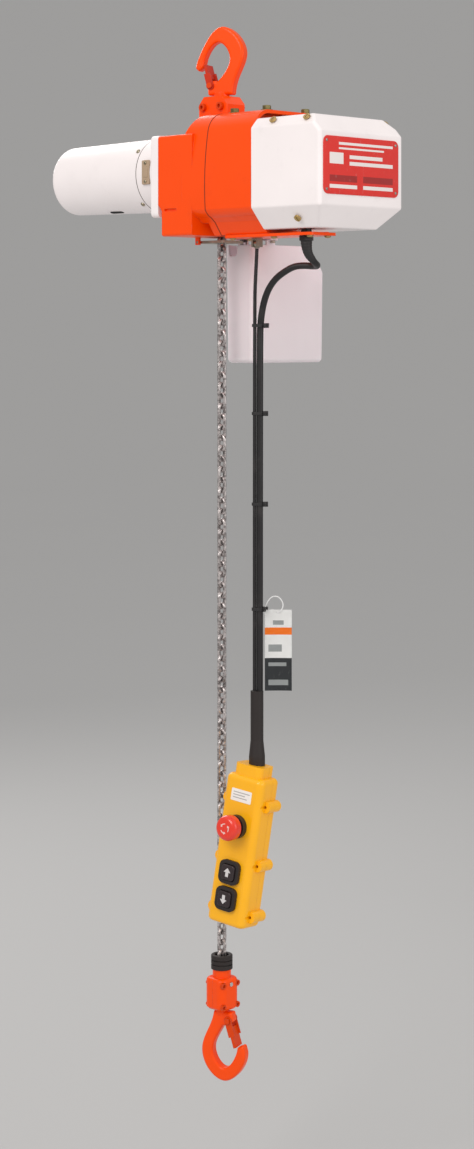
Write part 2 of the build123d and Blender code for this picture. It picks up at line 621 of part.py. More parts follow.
with BuildPart() as bracket_casting:
    with BuildSketch(side_plane.offset(-1)):
        add(casting_face)
    extrude(amount=BRACKET_X[1] + 1)
    with BuildSketch(front_plane.offset(-100)):
        Polygon((-1, BLOCK_TOP_Z), (11.5, SHOULDER_Z + 1), (-30, SHOULDER_Z + 1), (-30, BLOCK_TOP_Z), align=None)
    extrude(amount=200, mode=Mode.SUBTRACT)
    with BuildSketch(side_plane.offset(BRACKET_X[0])):
        with Locations(((FRONT_Y + 66) / 2, (BLOCK_TOP_Z + BODY_BOTTOM_Z) / 2)):
            RectangleRounded(66 - FRONT_Y, BLOCK_TOP_Z - BODY_BOTTOM_Z, 3)
    extrude(amount=FOOT_X - BRACKET_X[0])
    with BuildSketch(front_plane.offset(-100)):
        Polygon((-41, -186), (-40, -186), (-34, -193), (-34, -223), (-41, -223), align=None)
    extrude(amount=200, mode=Mode.SUBTRACT)
    with BuildSketch(front_plane.offset(-FRONT_Y - 2.5)):
        with Locations((-20, -192.5)):
            SlotOverall(20, 3)
    extrude(amount=10, mode=Mode.SUBTRACT)
    with BuildSketch(front_plane.offset(-100)):
        with Locations((sum(NOTCH_X) / 2, BODY_BOTTOM_Z)):
            Rectangle(NOTCH_X[1] - NOTCH_X[0], 28)
    extrude(amount=200, mode=Mode.SUBTRACT)
    with BuildSketch(Plane.XY.offset(YOKE_BOTTOM_Z - GAP)):
        Rectangle(YOKE_STEM + 2 * GAP, YOKE_DEPTH + 2 * GAP)
    extrude(amount=40, mode=Mode.SUBTRACT)
    with BuildSketch(shaft_plane.offset(-SHEAVE_CAVITY)):
        Circle(27)
    extrude(amount=2 * SHEAVE_CAVITY, mode=Mode.SUBTRACT)
    with BuildSketch(Plane.XY.offset(BODY_BOTTOM_Z - 1)):
        with Locations((0, sum(CHAIN_OPENING_Y) / 2)):
            Rectangle(2 * SHEAVE_CAVITY, CHAIN_OPENING_Y[1] - CHAIN_OPENING_Y[0])
    extrude(amount=SHAFT_Z - BODY_BOTTOM_Z + 1, mode=Mode.SUBTRACT)
    for start, depth, radius in ((-24, 48, BEARING_OUTER), (-41, 80, 9.5), (-41, 10.6, 33)):
        with BuildSketch(shaft_plane.offset(start)):
            Circle(radius)
        extrude(amount=depth, mode=Mode.SUBTRACT)
    with BuildSketch(layshaft_plane.offset(28)):
        Circle(LAYSHAFT_BEARING_OUTER)
    extrude(amount=20, mode=Mode.SUBTRACT)
    with BuildSketch(side_plane.offset(22)):
        with Locations(*CASTING_BOLTS):
            Circle(2.5 + GAP / 2)
    extrude(amount=40, mode=Mode.SUBTRACT)
    for low_y, high_y in ((-14.2, -11.4), (24.2, 26.6)):
        with BuildSketch(front_plane.offset(-high_y)):
            with Locations((LEVER_PIVOT[0], (BODY_BOTTOM_Z + LEVER_PIVOT[1] - 3) / 2)):
                Rectangle(6, BODY_BOTTOM_Z - LEVER_PIVOT[1] + 3)
            with Locations(LEVER_PIVOT):
                Circle(1.5 + RUNNING, mode=Mode.SUBTRACT)
        extrude(amount=high_y - low_y)
bracket_casting.part.label = "bracket_casting"

CASE_WALL_X = (84.0, 92.0)
with BuildPart() as gear_case:
    with BuildSketch(side_plane.offset(CASE_X[0])):
        add(casting_face)
    extrude(amount=CASE_X[1] - CASE_X[0])
    for start, end in ((CASE_X[0] - 1, CASE_WALL_X[0]), (CASE_WALL_X[1], CASE_X[1] + 1)):
        with BuildSketch(side_plane.offset(start)):
            add(casting_face)
            offset(amount=-WALL, kind=Kind.INTERSECTION, mode=Mode.REPLACE)
        extrude(amount=end - start, mode=Mode.SUBTRACT)
    for plane, radius in ((shaft_plane, ROTOR_BEARING_OUTER), (layshaft_plane, LAYSHAFT_BEARING_OUTER)):
        with BuildSketch(plane.offset(CASE_WALL_X[0] - 1)):
            Circle(radius)
        extrude(amount=20, mode=Mode.SUBTRACT)
    with BuildSketch(side_plane.offset(CASE_WALL_X[0] - 1)):
        with Locations(*CASTING_BOLTS):
            Circle(2.5 + GAP / 2)
    extrude(amount=20, mode=Mode.SUBTRACT)
    with BuildSketch(Plane.XY.offset(BODY_BOTTOM_Z - 1)):
        with Locations(ANCHOR_PLACE):
            Circle(ANCHOR_STUD_RADIUS + RUNNING)
    extrude(amount=WALL + 2, mode=Mode.SUBTRACT)
gear_case.part.label = "gear_case"

with BuildPart() as casting_bolts:
    with BuildSketch(side_plane.offset(24)):
        with Locations(*CASTING_BOLTS):
            Circle(2.5)
    extrude(amount=CASE_WALL_X[1] - 24)
    with BuildSketch(side_plane.offset(CASE_WALL_X[1])):
        with Locations(*CASTING_BOLTS):
            Circle(4.2)
            RegularPolygon(2.5, 6, mode=Mode.SUBTRACT)
    extrude(amount=5)
    with BuildSketch(side_plane.offset(CASE_WALL_X[1])):
        with Locations(*CASTING_BOLTS):
            Circle(2.6)
    extrude(amount=1)
casting_bolts.part.label = "casting_bolts"

BEARINGS = [
    (shaft_plane, -24.0, 8.0, HUB_RADIUS, BEARING_OUTER),
    (shaft_plane, 16.0, 8.0, HUB_RADIUS, BEARING_OUTER),
    (shaft_plane, CASE_WALL_X[0] + 0.2, 7.6, SHAFT_RADIUS, ROTOR_BEARING_OUTER),
    (shaft_plane, MOTOR_END_X + 18, 8.0, SHAFT_RADIUS, BEARING_BOSS),
    (layshaft_plane, CASE_WALL_X[0] + 0.2, 7.6, LAYSHAFT_RADIUS, LAYSHAFT_BEARING_OUTER),
    (layshaft_plane, 28.2, 7.6, LAYSHAFT_RADIUS, LAYSHAFT_BEARING_OUTER),
]
with BuildPart() as bearings:
    for plane, start, width, bore, outer in BEARINGS:
        ring = (outer - bore) / 3.5
        with BuildSketch(plane.offset(start)):
            Circle(outer - RUNNING / 5)
            Circle(bore + RUNNING, mode=Mode.SUBTRACT)
        extrude(amount=width)
        for shield_start in (start, start + width - 0.6):
            with BuildSketch(plane.offset(shield_start)):
                Circle(outer - ring)
                Circle(bore + ring, mode=Mode.SUBTRACT)
            extrude(amount=0.6, mode=Mode.SUBTRACT)
bearings.part.label = "bearings"

# ================================================================ parts under the castings
BASE_X = (40.0, 174.0)
BASE_Y = (-38.0, 6.0)
BASE_Z = (-225.5, BODY_BOTTOM_Z - 0.2)
with BuildPart() as base_plate:
    with BuildSketch(Plane.XY.offset(BASE_Z[0])):
        with Locations((sum(BASE_X) / 2, sum(BASE_Y) / 2)):
            RectangleRounded(BASE_X[1] - BASE_X[0], BASE_Y[1] - BASE_Y[0], 6)
        with Locations(GLAND_PLACE):
            Circle(6, mode=Mode.SUBTRACT)
        with Locations(ANCHOR_PLACE):
            Circle(ANCHOR_STUD_RADIUS + RUNNING, mode=Mode.SUBTRACT)
    extrude(amount=BASE_Z[1] - BASE_Z[0])
base_plate.part.label = "base_plate"

with BuildPart() as chain_guide:
    with BuildSketch(Plane.XY.offset(-200)):
        with Locations((0, sum(CHAIN_OPENING_Y) / 2)):
            Rectangle(2 * SHEAVE_CAVITY - 0.6, CHAIN_OPENING_Y[1] - CHAIN_OPENING_Y[0] - 0.6)
        with Locations((0, 0), (0, SHAFT_Y + WRAP_RADIUS)):
            Circle(7.8, mode=Mode.SUBTRACT)
    extrude(amount=14)
chain_guide.part.label = "chain_guide"

with BuildPart() as limit_switch:
    with BuildSketch(Plane.XY.offset(-218)):
        with Locations((0, SHAFT_Y)):
            Rectangle(20, 14)
    extrude(amount=17.6)
    with BuildSketch(Plane.XY.offset(-224.2)):
        with Locations((0, SHAFT_Y)):
            Circle(1.6)
    extrude(amount=7)
limit_switch.part.label = "limit_switch"

with BuildPart() as limit_lever:
    with BuildSketch(Plane.XY.offset(LEVER_PIVOT[1] - 1.5)):
        with Locations((-7, 6)):
            RectangleRounded(40, 34.5, 3)
        Circle(8.2, mode=Mode.SUBTRACT)
    extrude(amount=3)
    with BuildSketch(front_plane.offset(-26.4)):
        with Locations(LEVER_PIVOT):
            Circle(1.5)
    extrude(amount=40.4)
limit_lever.part.label = "limit_lever"

# ================================================================ control box
COVER_WALL = 3.0
COVER_ROUND = 4.0
cover_end_view = Polygon(
    (FRONT_Y, -108), (-52, -97), (60, -97), (BACK_Y, -109), (BACK_Y, -195), (52, -218), (-42, -218), (FRONT_Y, -195),
    align=None,
)
cover_front_view = Polygon(
    (COVER_X[0] - 20, -97), (COVER_X[1] - 18, -97), (COVER_X[1], -116),
    (COVER_X[1], -195), (COVER_X[1] - 20, -218), (COVER_X[0] - 20, -218),
    align=None,
)

with BuildPart() as cover_hollow:
    with BuildSketch(side_plane.offset(COVER_X[0] - 10)):
        add(cover_end_view)
        offset(amount=-COVER_WALL, kind=Kind.INTERSECTION, mode=Mode.REPLACE)
    extrude(amount=200)
    with BuildSketch(front_plane.offset(-100)):
        add(cover_front_view)
        offset(amount=-COVER_WALL, kind=Kind.INTERSECTION, mode=Mode.REPLACE)
    extrude(amount=200, mode=Mode.INTERSECT)

with BuildPart() as control_cover:
    with BuildSketch(side_plane.offset(COVER_X[0])):
        add(cover_end_view)
    extrude(amount=COVER_X[1] - COVER_X[0])
    with BuildSketch(front_plane.offset(-100)):
        add(cover_front_view)
    extrude(amount=200, mode=Mode.INTERSECT)
    outer_edges = [edge for edge in control_cover.edges() if edge.center().X > COVER_X[0] + 1]
    fillet(outer_edges, COVER_ROUND)
    add(cover_hollow.part, mode=Mode.SUBTRACT)
    with BuildSketch(Plane.XY.offset(-219)):
        with Locations(GLAND_PLACE):
            Circle(9)
    extrude(amount=8, mode=Mode.SUBTRACT)
control_cover.part.label = "control_cover"

SCREW_PLANES = [
    Plane(origin=(138, -57, -102.5), x_dir=(1, 0, 0), z_dir=(0, -1, 1)),
    Plane(origin=(188, -57, -102.5), x_dir=(1, 0, 0), z_dir=(0, -1, 1)),
    Plane(origin=(138, 66, -103), x_dir=(1, 0, 0), z_dir=(0, 1, 1)),
    Plane(origin=(188, 66, -103), x_dir=(1, 0, 0), z_dir=(0, 1, 1)),
    Plane(origin=(170, -52, -206.5), x_dir=(1, 0, 0), z_dir=(0, -1, -1)),
    Plane(origin=(170, 62, -206.5), x_dir=(1, 0, 0), z_dir=(0, 1, -1)),
]
with BuildPart() as cover_screws:
    for place in SCREW_PLANES:
        with BuildSketch(place.offset(1.6)):
            Circle(4)
            Rectangle(1, 6, mode=Mode.SUBTRACT)
        extrude(amount=2)
        with BuildSketch(place.offset(1.6)):
            Circle(2.4)
        extrude(amount=0.8)
cover_screws.part.label = "cover_screws"

with BuildPart() as control_board:
    with BuildSketch(side_plane.offset(112)):
        with Locations((8, -158)):
            RectangleRounded(104, 84, 3)
    extrude(amount=2)
    with BuildSketch(side_plane.offset(114)):
        with Locations((-25, -135), (-25, -160), (-1, -130)):
            Rectangle(20, 16)
    extrude(amount=14)
    with BuildSketch(side_plane.offset(114)):
        with GridLocations(9, 12, 4, 2):
            with Locations((20, -180)):
                Circle(3.4)
    extrude(amount=12)
control_board.part.label = "control_board"

with BuildPart() as contactors:
    for y in (24, 46):
        with BuildSketch(side_plane.offset(114.2)):
            with Locations((y, -148)):
                RectangleRounded(20, 42, 1.5)
        extrude(amount=40)
        with BuildSketch(side_plane.offset(154)):
            with Locations((y, -148)):
                Rectangle(14, 30)
        extrude(amount=6)
contactors.part.label = "contactors"

with BuildPart() as cable_gland:
    with BuildSketch(Plane.XY.offset(BASE_Z[0] - 5.5)):
        with Locations(GLAND_PLACE):
            RegularPolygon(8, 6)
    extrude(amount=5.3)
    with BuildSketch(Plane.XY.offset(BASE_Z[0] - 0.2)):
        with Locations(GLAND_PLACE):
            Circle(5.8)
    extrude(amount=14)
cable_gland.part.label = "cable_gland"

EYE_Z = BASE_Z[0] - 6.5
with BuildPart() as wire_anchor:
    with BuildSketch(side_plane.offset(ANCHOR_PLACE[0] - 5)):
        with Locations((ANCHOR_PLACE[1], (BASE_Z[0] + EYE_Z) / 2 - 1.9)):
            Rectangle(8, BASE_Z[0] - EYE_Z + 3.4)
    extrude(amount=10)
    with BuildSketch(side_plane.offset(ANCHOR_PLACE[0] - 2.6)):
        with Locations((ANCHOR_PLACE[1], EYE_Z - 1.8)):
            Rectangle(10, 12.5)
    extrude(amount=5.2, mode=Mode.SUBTRACT)
    with BuildSketch(side_plane.offset(ANCHOR_PLACE[0] - 5)):
        with Locations((ANCHOR_PLACE[1], EYE_Z)):
            Circle(1.5)
    extrude(amount=10)
    with BuildSketch(Plane.XY.offset(BASE_Z[0] - 0.2)):
        with Locations(ANCHOR_PLACE):
            Circle(ANCHOR_STUD_RADIUS)
    extrude(amount=10)
wire_anchor.part.label = "wire_anchor"

# ================================================================ chain container
CONTAINER_WALL = 2.0
CONTAINER_DRAFT = 3.0
CONTAINER_MID = (sum(CONTAINER_X) / 2, sum(CONTAINER_Y) / 2)
CONTAINER_SIZE = (CONTAINER_X[1] - CONTAINER_X[0], CONTAINER_Y[1] - CONTAINER_Y[0])
HANGER_Y = (50.0, 64.0)


def container_block(inset, floor):
    """Tapered bucket body: rounded rectangle at the rim lofted to a smaller one at the floor."""
    with BuildPart() as body:
        for level, shrink in ((floor, inset + 1), (CONTAINER_Z[1], inset)):
            with BuildSketch(Plane.XY.offset(level)):
                with Locations(CONTAINER_MID):
                    RectangleRounded(CONTAINER_SIZE[0] - 2 * shrink, CONTAINER_SIZE[1] - 2 * shrink, 7 - inset)
        loft()
    return body.part


with BuildPart() as chain_container:
    add(container_block(0, CONTAINER_Z[0]))
    fillet(chain_container.faces().sort_by(Axis.Z)[0].edges(), 5)
    add(container_block(CONTAINER_WALL, CONTAINER_Z[0] + CONTAINER_WALL), mode=Mode.SUBTRACT)
    with BuildSketch(side_plane.offset(-40)):
        Polygon((118, -229), (152, -229), (152, -268), align=None)
    extrude(amount=80, mode=Mode.SUBTRACT)
    with BuildSketch(front_plane.offset(-CONTAINER_Y[0] - 5)):
        with Locations((-9, CONTAINER_Z[1])):
            RectangleRounded(14, 26, 5)
    extrude(amount=10, mode=Mode.SUBTRACT)
    with BuildSketch(Plane.XY.offset(BODY_BOTTOM_Z - 2.8)):
        with Locations((0, sum(HANGER_Y) / 2)):
            RectangleRounded(58, HANGER_Y[1] - HANGER_Y[0], 3)
            Rectangle(30, 20, mode=Mode.SUBTRACT)
    extrude(amount=2.5)
    for side in (-1, 1):
        with BuildSketch(Plane.XY.offset(CONTAINER_Z[1] - 6)):
            with Locations((side * (CONTAINER_X[1] - 1.1), sum(HANGER_Y) / 2)):
                Rectangle(CONTAINER_WALL, HANGER_Y[1] - HANGER_Y[0])
        extrude(amount=BODY_BOTTOM_Z - CONTAINER_Z[1] + 4)
    with BuildSketch(Plane.XY.offset(BODY_BOTTOM_Z - 5)):
        with Locations((-26, sum(HANGER_Y) / 2), (26, sum(HANGER_Y) / 2)):
            Circle(1.7)
    extrude(amount=10, mode=Mode.SUBTRACT)
chain_container.part.label = "chain_container"

with BuildPart() as container_bolts:
    with BuildSketch(Plane.XY.offset(BODY_BOTTOM_Z - 5.8)):
        with Locations((-26, sum(HANGER_Y) / 2), (26, sum(HANGER_Y) / 2)):
            RegularPolygon(3, 6)
    extrude(amount=2.8)
    with BuildSketch(Plane.XY.offset(BODY_BOTTOM_Z - 3)):
        with Locations((-26, sum(HANGER_Y) / 2), (26, sum(HANGER_Y) / 2)):
            Circle(1.5)
    extrude(amount=2.8)
container_bolts.part.label = "container_bolts"

# ================================================================ control line
BOOT_TOP_Z = -730.0
CABLE_ROUTE = [
    (155.0, -24.0, -231.0),
    (155.0, -24.0, -243.0),
    (157.5, -14.5, -254.0),
    (152.5, -2.5, -258.0),
    (141.5, 1.5, -258.0),
    (130.5, -2.5, -257.0),
    (120.0, -7.0, -258.0),
    (110.0, -11.0, -263.5),
    (98.5, -13.5, -271.0),
    (88.5, -14.5, -282.0),
    (80.75, -14.25, -297.0),
    (76.0, -14.0, -316.0),
    (74.2, -13.9, -340.0),
    (74.2, -13.9, BOOT_TOP_Z),
]
WIRE_ROUTE = [
    (72.0, -16.0, -237.2),
    (71.0, -17.2, -268.0),
    (70.0, -17.9, -300.0),
    (70.0, -17.9, BOOT_TOP_Z),
]


def corner_radii(route, share=0.45):
    """Largest even arc that each corner's shorter run allows."""
    points = [Vector(*point) for point in route]
    radii = []
    for before, corner, after in zip(points, points[1:], points[2:]):
        arriving = corner - before
        leaving = after - corner
        half_turn = math.radians(arriving.get_angle(leaving)) / 2
        radii.append(share * min(arriving.length, leaving.length) / math.tan(half_turn))
    return radii


def cord_block(route, diameter, label):
    """Round cord swept along straight runs joined by tangent arcs."""
    radii = corner_radii(route)
    with BuildPart() as cord:
        with BuildLine() as path:
            FilletPolyline(*route, radius=radii)
        with BuildSketch(Plane(origin=route[0], z_dir=path.wires()[0] % 0)):
            Circle(diameter / 2)
        sweep()
    length = path.wires()[0].length
    section = math.pi * diameter**2 / 4
    print(label, "radii", [round(radius, 1) for radius in radii])
    print(label, "length", round(length, 1), "volume ratio", round(cord.part.volume / (section * length), 4))
    return cord


control_cable = cord_block(CABLE_ROUTE, CABLE_DIAMETER, "control_cable")
control_cable.part.label = "control_cable"
strain_wire = cord_block(WIRE_ROUTE, WIRE_DIAMETER, "strain_wire")
strain_wire.part.label = "strain_wire"

with BuildPart() as wire_eye:
    with BuildSketch(side_plane.offset(ANCHOR_PLACE[0] - 2)):
        with Locations((ANCHOR_PLACE[1], EYE_Z)):
            Circle(3.4)
        with Locations((ANCHOR_PLACE[1], EYE_Z - 2.9)):
            Rectangle(4, 4)
        with Locations((ANCHOR_PLACE[1], EYE_Z)):
            Circle(1.5 + RUNNING, mode=Mode.SUBTRACT)
    extrude(amount=4)
wire_eye.part.label = "wire_eye"

BOOT_RADIUS = 7.2
BOOT_PLACE = (LINE_X, LINE_Y)
with BuildPart() as pendant_boot:
    with BuildSketch(Plane.XY.offset(BOOT_TOP_Z)):
        with Locations(BOOT_PLACE):
            Circle(BOOT_RADIUS)
    extrude(amount=-60)
    for start, end, wide in ((-785, -803, 9.0), (-803, -822, 9.0)):
        with BuildSketch(Plane.XY.offset(end)):
            with Locations(BOOT_PLACE):
                Circle(wide)
        with BuildSketch(Plane.XY.offset(start)):
            with Locations(BOOT_PLACE):
                Circle(BOOT_RADIUS if start == -785 else wide)
        loft()
    split(bisect_by=pendant_plane.offset(0.05), keep=Keep.TOP)
pendant_boot.part.label = "pendant_boot"

# ================================================================ pendant
CAP_HEIGHT = 12.0
SHELL_WALL = 2.5
SEAM_Y = 3.0
ESTOP_DEPTH = 68.0
UP_DEPTH = 119.0
DOWN_DEPTH = 148.5
BEZEL = 26.0
KEY = 17.0
LUG_RADIUS = 6.5
LUG_DEPTHS = (42.0, 108.0, 165.0)
LUG_PLACES = [(side * (PENDANT_WIDTH / 2 + 0.5), -depth) for side in (-1, 1) for depth in LUG_DEPTHS]
FACE_PLACES = [(0, -UP_DEPTH), (0, -DOWN_DEPTH)]

with BuildPart() as pendant_case:
    with BuildSketch(pendant_plane.offset(-PENDANT_LENGTH)):
        RectangleRounded(PENDANT_WIDTH, PENDANT_DEPTH, 8)
    extrude(amount=PENDANT_LENGTH - CAP_HEIGHT)
    lean_axis = Axis(pendant_plane.origin, pendant_plane.z_dir)
    fillet(pendant_case.faces().sort_by(lean_axis)[-1].edges(), 6)
    fillet(pendant_case.faces().sort_by(lean_axis)[0].edges(), 5)
    with BuildSketch(pendant_plane.offset(-CAP_HEIGHT - 4)):
        RectangleRounded(PENDANT_WIDTH - 14, PENDANT_DEPTH - 8, 7)
    extrude(amount=CAP_HEIGHT + 4)
    with BuildSketch(pendant_face.offset(-PENDANT_DEPTH + 3)):
        with Locations(*LUG_PLACES):
            Circle(LUG_RADIUS)
    extrude(amount=22)
    with BuildSketch(pendant_plane.offset(-PENDANT_LENGTH + SHELL_WALL)):
        RectangleRounded(PENDANT_WIDTH - 2 * SHELL_WALL, PENDANT_DEPTH - 2 * SHELL_WALL, 6)
    extrude(amount=PENDANT_LENGTH - CAP_HEIGHT - 2 * SHELL_WALL, mode=Mode.SUBTRACT)
    with BuildSketch(pendant_face.offset(-PENDANT_DEPTH - 5)):
        with Locations(*LUG_PLACES):
            Circle(1.7)
    extrude(amount=PENDANT_DEPTH, mode=Mode.SUBTRACT)
    with BuildSketch(pendant_face.offset(-8)):
        with Locations((0, -ESTOP_DEPTH)):
            Circle(6.2)
        with Locations(*FACE_PLACES):
            RectangleRounded(KEY + 1.2, KEY + 1.2, 4)
    extrude(amount=10, mode=Mode.SUBTRACT)
seam_plane = Plane(
    origin=pendant_plane.origin + pendant_plane.y_dir * SEAM_Y,
    x_dir=pendant_plane.x_dir,
    z_dir=pendant_plane.y_dir,
)

with BuildPart() as pendant_front:
    add(pendant_case.part)
    split(bisect_by=seam_plane, keep=Keep.BOTTOM)
pendant_front.part.label = "pendant_front"
with BuildPart() as pendant_back:
    add(pendant_case.part)
    split(bisect_by=seam_plane.offset(0.2), keep=Keep.TOP)
pendant_back.part.label = "pendant_back"

with BuildPart() as pendant_screws:
    with BuildSketch(pendant_face.offset(-PENDANT_DEPTH + 0.8)):
        with Locations(*LUG_PLACES):
            Circle(2.3)
    extrude(amount=2)
    with BuildSketch(pendant_face.offset(-PENDANT_DEPTH + 2.8)):
        with Locations(*LUG_PLACES):
            Circle(1.5)
    extrude(amount=18)
pendant_screws.part.label = "pendant_screws"

with BuildPart() as button_bezels:
    with BuildSketch(pendant_face.offset(0.1)):
        with Locations(*FACE_PLACES):
            RectangleRounded(BEZEL, BEZEL, 7)
            RectangleRounded(KEY + 1.2, KEY + 1.2, 4, mode=Mode.SUBTRACT)
    extrude(amount=4.5)
button_bezels.part.label = "button_bezels"

keys = []
for label, depth in (("up_button", UP_DEPTH), ("down_button", DOWN_DEPTH)):
    with BuildPart() as key:
        with BuildSketch(pendant_face.offset(-3.4)):
            with Locations((0, -depth)):
                RectangleRounded(KEY, KEY, 3.5)
        extrude(amount=10.5)
        key_top = key.faces().sort_by(Axis(pendant_face.origin, pendant_face.z_dir))[-1]
        fillet(key_top.edges(), 1.5)
    key.part.label = label
    keys.append(key)

with BuildPart() as estop_collar:
    with BuildSketch(pendant_face.offset(0.1)):
        with Locations((0, -ESTOP_DEPTH)):
            Circle(13)
            Circle(6.2, mode=Mode.SUBTRACT)
    extrude(amount=7)
estop_collar.part.label = "estop_collar"

with BuildPart() as estop_stem:
    with BuildSketch(pendant_face.offset(-5)):
        with Locations((0, -ESTOP_DEPTH)):
            Circle(6)
    extrude(amount=17)
    with BuildSketch(pendant_face.offset(12)):
        with Locations((0, -ESTOP_DEPTH)):
            Circle(3)
    extrude(amount=5)
estop_stem.part.label = "estop_stem"

with BuildPart() as estop_head:
    with BuildSketch(pendant_face.offset(12.2)):
        with Locations((0, -ESTOP_DEPTH)):
            Circle(14)
    extrude(amount=12)
    fillet(estop_head.faces().sort_by(Axis(pendant_face.origin, pendant_face.z_dir))[-1].edges(), 6)
    with BuildSketch(pendant_face.offset(12.2)):
        with Locations((0, -ESTOP_DEPTH)):
            Circle(3 + RUNNING)
    extrude(amount=6, mode=Mode.SUBTRACT)
estop_head.part.label = "estop_head"

with BuildPart() as switch_block:
    with BuildSketch(pendant_face.offset(-PENDANT_DEPTH + 6)):
        with Locations((0, -ESTOP_DEPTH), *FACE_PLACES):
            RectangleRounded(22, 24, 2)
    extrude(amount=16)
switch_block.part.label = "switch_block"

# ================================================================ hook block
BLOCK_WIDTH = 30.0
BODY_TOP = BLOCK_TOP - BUMPER_LENGTH - 0.3
BODY_END = BLOCK_TOP - BUMPER_LENGTH - BLOCK_LENGTH
LINK_CAVITY = 7.4
PIN_Z = SHAFT_Z - CHAIN_PITCH * LAST_LINK - (CHAIN_PITCH + CHAIN_SLACK) / 2 + 2.5
PIN_RADIUS = 2.4
SWIVEL_COLLAR_RADIUS = 11.0
SWIVEL_COLLAR_Z = (-1093.0, -1082.5)
SWIVEL_SHANK_RADIUS = 7.0
BLOCK_BOLTS = [(y, z) for y in (-11, 11) for z in (-1073, -1097.5)]

with BuildPart() as bumper:
    with BuildSketch(Plane.XY.offset(BLOCK_TOP - BUMPER_LENGTH)):
        Circle(BUMPER_RADIUS)
        Circle(7.8, mode=Mode.SUBTRACT)
    extrude(amount=BUMPER_LENGTH)
    fillet(bumper.edges().group_by(Axis.Z)[-1], 1.2)
    for groove in (5, 10):
        with BuildSketch(Plane.XY.offset(BLOCK_TOP - groove)):
            Circle(BUMPER_RADIUS + 1)
            Circle(BUMPER_RADIUS - 1.2, mode=Mode.SUBTRACT)
        extrude(amount=-1.5, mode=Mode.SUBTRACT)
bumper.part.label = "bumper"

with BuildPart() as block_body:
    with BuildSketch(Plane.XY.offset(BODY_END)):
        RectangleRounded(BLOCK_WIDTH, BLOCK_WIDTH, 9)
    extrude(amount=BODY_TOP - 9 - BODY_END)
    fillet(block_body.faces().sort_by(Axis.Z)[-1].edges(), 4)
    chamfer(block_body.faces().sort_by(Axis.Z)[0].edges(), 2.5)
    with BuildSketch(Plane.XY.offset(BODY_TOP - 12)):
        Circle(10.5)
    extrude(amount=12)
    with BuildSketch(Plane.XY.offset(BODY_TOP + 1)):
        Circle(LINK_CAVITY)
    extrude(amount=SWIVEL_COLLAR_Z[1] - BODY_TOP, mode=Mode.SUBTRACT)
    with BuildSketch(Plane.XY.offset(SWIVEL_COLLAR_Z[0] - 0.1)):
        Circle(SWIVEL_COLLAR_RADIUS + GAP)
    extrude(amount=SWIVEL_COLLAR_Z[1] - SWIVEL_COLLAR_Z[0] + 0.2, mode=Mode.SUBTRACT)
    with BuildSketch(Plane.XY.offset(BODY_END - 1)):
        Circle(SWIVEL_SHANK_RADIUS + RUNNING)
    extrude(amount=12, mode=Mode.SUBTRACT)
    with BuildSketch(side_plane.offset(-BLOCK_WIDTH)):
        with Locations(*BLOCK_BOLTS):
            Circle(2.1)
        with Locations((0, PIN_Z)):
            Circle(PIN_RADIUS + RUNNING)
    extrude(amount=2 * BLOCK_WIDTH, mode=Mode.SUBTRACT)
    with BuildSketch(side_plane.offset(BLOCK_WIDTH / 2 - 3)):
        with Locations(*BLOCK_BOLTS):
            Circle(3.6)
    extrude(amount=10, mode=Mode.SUBTRACT)

with BuildPart() as block_left:
    add(block_body.part)
    split(bisect_by=side_plane.offset(-0.05), keep=Keep.BOTTOM)
block_left.part.label = "block_left"
with BuildPart() as block_right:
    add(block_body.part)
    split(bisect_by=side_plane.offset(0.05), keep=Keep.TOP)
block_right.part.label = "block_right"

with BuildPart() as block_bolts:
    with BuildSketch(side_plane.offset(-BLOCK_WIDTH / 2 + 2)):
        with Locations(*BLOCK_BOLTS):
            Circle(2)
    extrude(amount=BLOCK_WIDTH - 5)
    with BuildSketch(side_plane.offset(BLOCK_WIDTH / 2 - 3)):
        with Locations(*BLOCK_BOLTS):
            Circle(3.4)
            RegularPolygon(2, 6, mode=Mode.SUBTRACT)
    extrude(amount=3)
    with BuildSketch(side_plane.offset(BLOCK_WIDTH / 2 - 3)):
        with Locations(*BLOCK_BOLTS):
            Circle(2.2)
    extrude(amount=0.8)
block_bolts.part.label = "block_bolts"

with BuildPart() as chain_pin:
    with BuildSketch(side_plane.offset(-BLOCK_WIDTH / 2 + 0.5)):
        with Locations((0, PIN_Z)):
            Circle(PIN_RADIUS)
    extrude(amount=BLOCK_WIDTH + 0.3)
chain_pin.part.label = "chain_pin"

